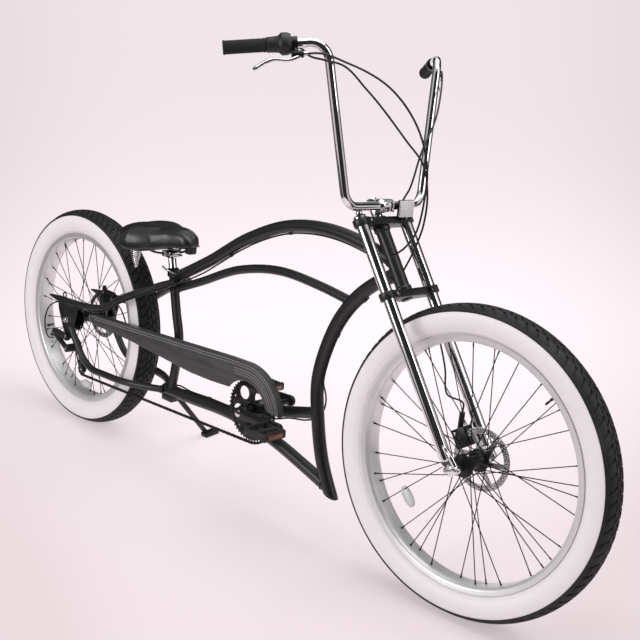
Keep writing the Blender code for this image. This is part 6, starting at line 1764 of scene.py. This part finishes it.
STAND_PIVOT = Vector((0.452, 0.034, 0.2105))
STAND_FOOT = Vector((0.411, 0.205, 0.0327))
STAND_AXIS = Vector((-0.259, 1.0, 0.35)).normalized()
LEAN_BACK = math.radians(6.5)
hinge_parts = [
    rod("pin", STAND_PIVOT - STAND_AXIS * 0.012, STAND_PIVOT + STAND_AXIS * 0.012, 0.005, 20, 0.0006),
    rod("boss", STAND_PIVOT - STAND_AXIS * 0.030, STAND_PIVOT - STAND_AXIS * 0.0090, 0.0135, 28, 0.0012),
    rod("cap", STAND_PIVOT + STAND_AXIS * 0.0090, STAND_PIVOT + STAND_AXIS * 0.0135, 0.0075, 24, 0.0008),
    slab("plate", (0.462, 0.0025, 0.2100), (0.050, 0.027, 0.020), rounding=0.002),
]
settle(joined(hinge_parts, "stand_hinge"), BIKE, "frame", "black_paint", ["stand_bracket"])
leg_way = (STAND_FOOT - STAND_PIVOT).normalized()
head = turned("head", [(0.0057, -0.0085), (0.0138, -0.0085), (0.0148, -0.0075), (0.0148, 0.0075),
    (0.0138, 0.0085), (0.0057, 0.0085)],
              32, closed=True)
head.data.transform(facing(STAND_PIVOT, STAND_AXIS))
stand_parts = [head, rod("leg", STAND_PIVOT + leg_way * 0.0130, STAND_FOOT + leg_way * 0.002, 0.0085, 28,
    0.001),
               slab("foot", STAND_FOOT + Vector((0.006, 0.012, -0.001)), (0.030, 0.056, 0.014),
                   Matrix.Rotation(LEAN_BACK, 4, "X"), 0.0025)]
settle(joined(stand_parts, "stand_leg_and_foot"), BIKE, "stand", "black_alloy", ["side_stand"])


# Cables

CABLE_RADIUS = 0.0025
CABLE_LIFT = CABLE_RADIUS + 0.00045


def alongside(path, distance, first, last):
    """Part of a middle-plane path, by its keys at half spans, moved sideways to the left of its direction."""
    moved = []
    for index in range(first * 4, last * 4 + 1, 4):
        way = (path[index + 1] - path[index - 1]).normalized()
        moved.append(path[index] + Vector((-way.z, 0.0, way.x)) * distance)
    return moved


def beside_stay(keys, sign, first, last, toward):
    path = stay_path(keys, sign)
    followed = []
    for index in range(first * 4, last * 4 + 1, 4):
        way = (path[index + 1] - path[index - 1]).normalized()
        outward = (toward - way * toward.dot(way)).normalized()
        followed.append(path[index] + outward * (STAY_RADIUS + CABLE_LIFT + 0.0003))
    return followed


def straightened(point):
    """Where a point beside the parked, slightly turned fork lies while the fork is drawn straight."""
    pivot = steering_point(LOWER_CROWN_HEIGHT)
    return Matrix.Translation(pivot) @ Matrix.Rotation(-STEER, 4, UP_FORK) @ Matrix.Translation(-pivot) @ Vector(point)


shift_keys = [Vector(key) for key in (
    (-0.060, -0.1000, 0.2900), (-0.090, -0.1000, 0.2850), (-0.114, -0.1000, 0.330), (-0.095, -0.1000, 0.385),
    (-0.040, -0.0990, 0.420), (0.030, -0.0990, 0.424))]
shift_keys += beside_stay(UPPER_STAY, -1.0, 2, 14, Vector((0.0, -0.5, -0.87)))
shift_keys += [Vector((0.500, -0.0400, 0.5880)), Vector((0.560, -0.0260, 0.6150))]
shift_keys += alongside(TOP_TUBE, -(TOP_TUBE_RADIUS + CABLE_LIFT), 4, 11)
settle(tube("shift_cable_run", smooth_path(shift_keys, 4), CABLE_RADIUS, 12), BIKE, "frame",
    "cable_housing", ["cable_run_shift"])
brake_keys = alongside(DOWN_TUBE, DOWN_TUBE_RADIUS + CABLE_LIFT, 3, 10) + [Vector(key) for key in (
    (1.130, 0.0130, 0.410), (1.124, 0.0220, 0.385), (1.108, 0.0255, 0.345), (1.070, 0.0205, 0.318),
    (1.000, 0.010, 0.304),
    (0.935, 0.018, 0.280), (0.880, 0.020, 0.2680))]
brake_keys += alongside(BOOM, BOOM_RADIUS + CABLE_LIFT, 2, 4)[::-1]
brake_keys += [Vector(key) for key in ((0.500, 0.0120, 0.2570), (0.474, 0.0200, 0.2500),
    (0.430, 0.031, 0.2515))]
brake_keys += beside_stay(LOWER_STAY, 1.0, 8, 13, Vector((0.0, 0.0, 1.0)))[::-1]
brake_keys += [Vector(key) for key in (
    (0.165, 0.079, 0.280), (0.130, 0.070, 0.345), (0.098, 0.063, 0.405), (0.052, 0.062, 0.4330))]
settle(tube("brake_cable_run", smooth_path(brake_keys, 4), CABLE_RADIUS, 12), BIKE, "frame",
    "cable_housing", ["cable_run_brake"])

rear_brake_loop = [LEVER_ENDS["right"] + BAR_WAY * MIRROR * out for out in (0.0003, 0.020)] + [straightened(key) for key in (
    (1.2889, -0.1757, 1.2981), (1.3298, -0.1514, 1.2816), (1.3633, -0.1271, 1.2605),
    (1.4252, -0.0786, 1.1788),
    (1.4470, -0.0400, 1.0478), (1.4423, -0.0360, 1.0035), (1.4193, -0.0340, 0.9043),
    (1.3880, -0.0300, 0.8690),
    (1.3500, -0.02795, 0.8420))]
shift_loop = [shifter_end + BAR_WAY * MIRROR * out for out in (0.0, 0.020)] + [
    Vector(key) for key in ((1.2050, -0.2490, 1.2980), (1.2420, -0.2360, 1.2920), (1.2680, -0.2050, 1.2860))
] + [straightened(key) for key in (
    (1.3130, -0.1320, 1.2420), (1.3905, -0.0640, 1.1326), (1.4260, -0.0330, 1.0773),
    (1.4409, -0.0271, 1.0181),
    (1.4355, -0.0214, 0.9375), (1.4086, -0.0157, 0.8662), (1.3770, -0.0080, 0.8110))]
for name, loop, node in (("rear_brake_cable_loop", rear_brake_loop, "cable_rear_brake"),
                         ("shift_cable_loop", shift_loop, "cable_shift")):
    cable = settle(tube(name, smooth_path(loop, 10), CABLE_RADIUS, 12), FORK, None, "cable_housing", [node])
    tuple(FORK @ loop[-2])
    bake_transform(cable)
front_brake_loop = [LEVER_ENDS["left"] + BAR_WAY * out for out in (0.0003, 0.020)] + [
    Vector(key) for key in ((1.300, 0.150, 1.180), (1.325, 0.070, 1.090), (1.325, 0.045, 1.010))
] + [steering_point(height, y, ahead) for height, y, ahead in (
    (0.6552, 0.050, 0.036), (0.6002, 0.054, 0.036), (0.5200, 0.058, 0.040), (0.4416, 0.062, 0.036),
    (0.3400, 0.065, 0.010),
    (0.240, 0.065, -0.010), (0.180, 0.062, -0.028))] + [FRONT_CALIPER + Vector((-0.016, 0.060, 0.060 + rise)) for rise in (0.020, 0.0003)]
settle(tube("front_brake_cable_loop", smooth_path(front_brake_loop, 10), CABLE_RADIUS, 12), FORK, "fork",
    "cable_housing",
       ["cable_front_brake"])

# Clips that hold the cables along the tubes
clips = []
for path, radius, index, side in (
        (TOP_TUBE, TOP_TUBE_RADIUS, 12, -1), (TOP_TUBE, TOP_TUBE_RADIUS, 24, -1),
        (TOP_TUBE, TOP_TUBE_RADIUS, 42, -1),
        (DOWN_TUBE, DOWN_TUBE_RADIUS, 14, 1), (DOWN_TUBE, DOWN_TUBE_RADIUS, 28, 1),
        (BOOM, BOOM_RADIUS, 12, 1)):
    way = (path[index + 1] - path[index - 1]).normalized()
    outward = Vector((-way.z, 0.0, way.x)) * side
    middle = path[index] + outward * (radius + CABLE_LIFT)
    clips.append(rod("clip", middle - way * 0.006, middle + way * 0.006, CABLE_RADIUS + 0.0016, 16, 0.0006))
    clips.append(slab("clip_foot", middle - outward * 0.0024, (0.009, 0.007, 0.005),
                      Vector((1, 0, 0)).rotation_difference(way).to_matrix().to_4x4(), 0.0008))
settle(joined(clips, "cable_clips"), BIKE, "frame", "black_plastic")

# Reflectors in the wheels
for wheel, place, body, radius, angle, z in (("front", FRONT_WHEEL, "front_wheel", 0.211,
        math.radians(221), 0.012),
                                             ("rear", REAR_WHEEL, "rear_wheel", 0.235, math.radians(274),
                                                 0.014)):
    spoke_lens = sheet(f"{wheel}_spoke_reflector", ring(1.0, 40), 0.007, (), 0.0018)
    for vertex in spoke_lens.data.vertices:
        vertex.co.x *= 0.0135
        vertex.co.y *= 0.0290
    spoke_lens.data.transform(Matrix.Translation((radius * math.cos(angle), -z, radius * math.sin(angle)))
                              @ Matrix.Rotation(-angle, 4, "Y") @ Matrix.Rotation(math.pi / 2, 4, "X"))
    settle(spoke_lens, place, body, "clear_reflector")


# Floor, lamps and camera


def pale_floor():
    """A wide pale floor whose colour carries painted shade, darkening gently toward the camera and the picture's rim;
    it keeps the object's shadow.
    """
    floor = begin(bpy.ops.mesh.primitive_circle_add, "studio_floor", vertices=96, radius=90.0,
        fill_type="NGON")
    finish = Finish("pale studio floor", (0.940, 0.842, 0.884), 0.9)
    ahead = along(finish, (0.711, -0.703, 0.0))
    aside = along(finish, (0.703, 0.711, 0.0)) - 0.13
    # Painted shade: the floor's colour darkens toward the camera and toward the picture's sides, where the light falls
    # off
    rim = finish.step(aside * aside / ((3.05 - ahead) * (3.05 - ahead)), 0.010, 0.130)
    floor_colour_with_painted_shade = finish.tint(finish.step(ahead, -1.6, 1.2) * 0.80 + rim * 0.42, (0.66, 0.57, 0.59))
    shine = finish.node("ShaderNodeEmission", {}, {"Color": floor_colour_with_painted_shade, "Strength": FLOOR_GLOW})
    rays = finish.node("ShaderNodeLightPath")
    seen = Field(finish, rays.outputs["Is Camera Ray"]) + Field(finish, rays.outputs["Is Glossy Ray"])
    seen = seen + Field(finish, rays.outputs["Is Transmission Ray"])
    blend = finish.node("ShaderNodeMixShader", {},
        {0: seen * FLOOR_GLOW_SHARE, 1: finish.shader.outputs[0], 2: shine.outputs[0]})
    finish.feed(finish.tree.nodes["Material Output"], {"Surface": blend.outputs[0]})
    floor.data.materials.append(finish.material)


def along(finish, way):
    """How far a point lies along a direction over the floor."""
    made = finish.node("ShaderNodeVectorMath", {"operation": "DOT_PRODUCT"}, {0: finish.place, 1: way})
    return Field(finish, made.outputs["Value"])


def dark_card(name, first, last, depth, inner=1.9, outer=4.2, top=5.2):
    """A leaning dark card round part of the studio, which only glossy surfaces show, for long dark streaks."""
    card = begin(bpy.ops.mesh.primitive_grid_add, name, x_subdivisions=6, y_subdivisions=1, size=1.0)
    for vertex in card.data.vertices:
        turn = math.radians(first + (last - first) * (vertex.co.x + 0.5))
        reach, height = (outer, top) if vertex.co.y > 0 else (inner, 0.004)
        vertex.co = Vector((0.3 + reach * math.cos(turn), reach * math.sin(turn), height))
    finish = Finish(name + " cloth", (depth, depth, depth), 0.95)
    finish.roughness(finish.noise(3.0) * 0.1 + 0.9)
    card.data.materials.append(finish.material)
    card.visible_camera = card.visible_diffuse = card.visible_shadow = card.visible_transmission = False


def lamp(name, place, aim_at, size, power, colour=(1.0, 1.0, 1.0)):
    data = bpy.data.lights.new(name, "AREA")
    data.shape = "RECTANGLE"
    data.size, data.size_y = size
    data.energy = power
    data.color = colour
    piece = bpy.data.objects.new(name, data)
    bpy.context.scene.collection.objects.link(piece)
    piece.location = place
    piece.rotation_euler = (Vector(aim_at) - Vector(place)).to_track_quat("-Z", "Y").to_euler()
    return piece


pale_floor()
for number, card in enumerate((
        (-82, 6, 0.012), (55, 118, 0.012), (146, 200, 0.02), (206, 232, 0.05),
        (-158, -88, 0.03, 1.4, 2.9, 0.34), (14, 52, 0.03, 1.4, 2.9, 0.34))):
    dark_card(f"dark_card_{number}", *card)
lamp("overhead_softbox", (0.6, 0.6, 3.6), (0.0, 0.0, 0.3), (3.2, 2.4), 58.0)
lamp("front_softbox", (3.6, 0.95, 2.4), (0.2, 0.0, 0.5), (0.9, 2.2), 26.0)
lamp("side_softbox", (-0.9, -3.6, 1.9), (0.0, 0.0, 0.4), (1.6, 1.8), 46.0)

world = bpy.data.worlds.new("studio_light")
bpy.context.scene.world = world
world.use_nodes = True
world.node_tree.nodes["Background"].inputs["Color"].default_value = (0.93, 0.92, 0.925, 1.0)
world.node_tree.nodes["Background"].inputs["Strength"].default_value = 0.60

CAMERA_LENS_MM = 61.9
SENSOR_WIDTH_MM = 36.0
CAMERA_AT = (2.259076, -2.053209, 1.576543)
CAMERA_TILT_DEG, CAMERA_TURN_DEG = 71.0184, 45.3088
camera_data = bpy.data.cameras.new("studio_camera")
camera_data.lens = CAMERA_LENS_MM
camera_data.sensor_width = SENSOR_WIDTH_MM
camera_data.dof.use_dof = False
camera = bpy.data.objects.new("studio_camera", camera_data)
bpy.context.scene.collection.objects.link(camera)
camera.location = CAMERA_AT
camera.rotation_euler = (math.radians(CAMERA_TILT_DEG), 0.0, math.radians(CAMERA_TURN_DEG))
bpy.context.scene.camera = camera
bpy.context.scene.view_settings.view_transform = "Standard"
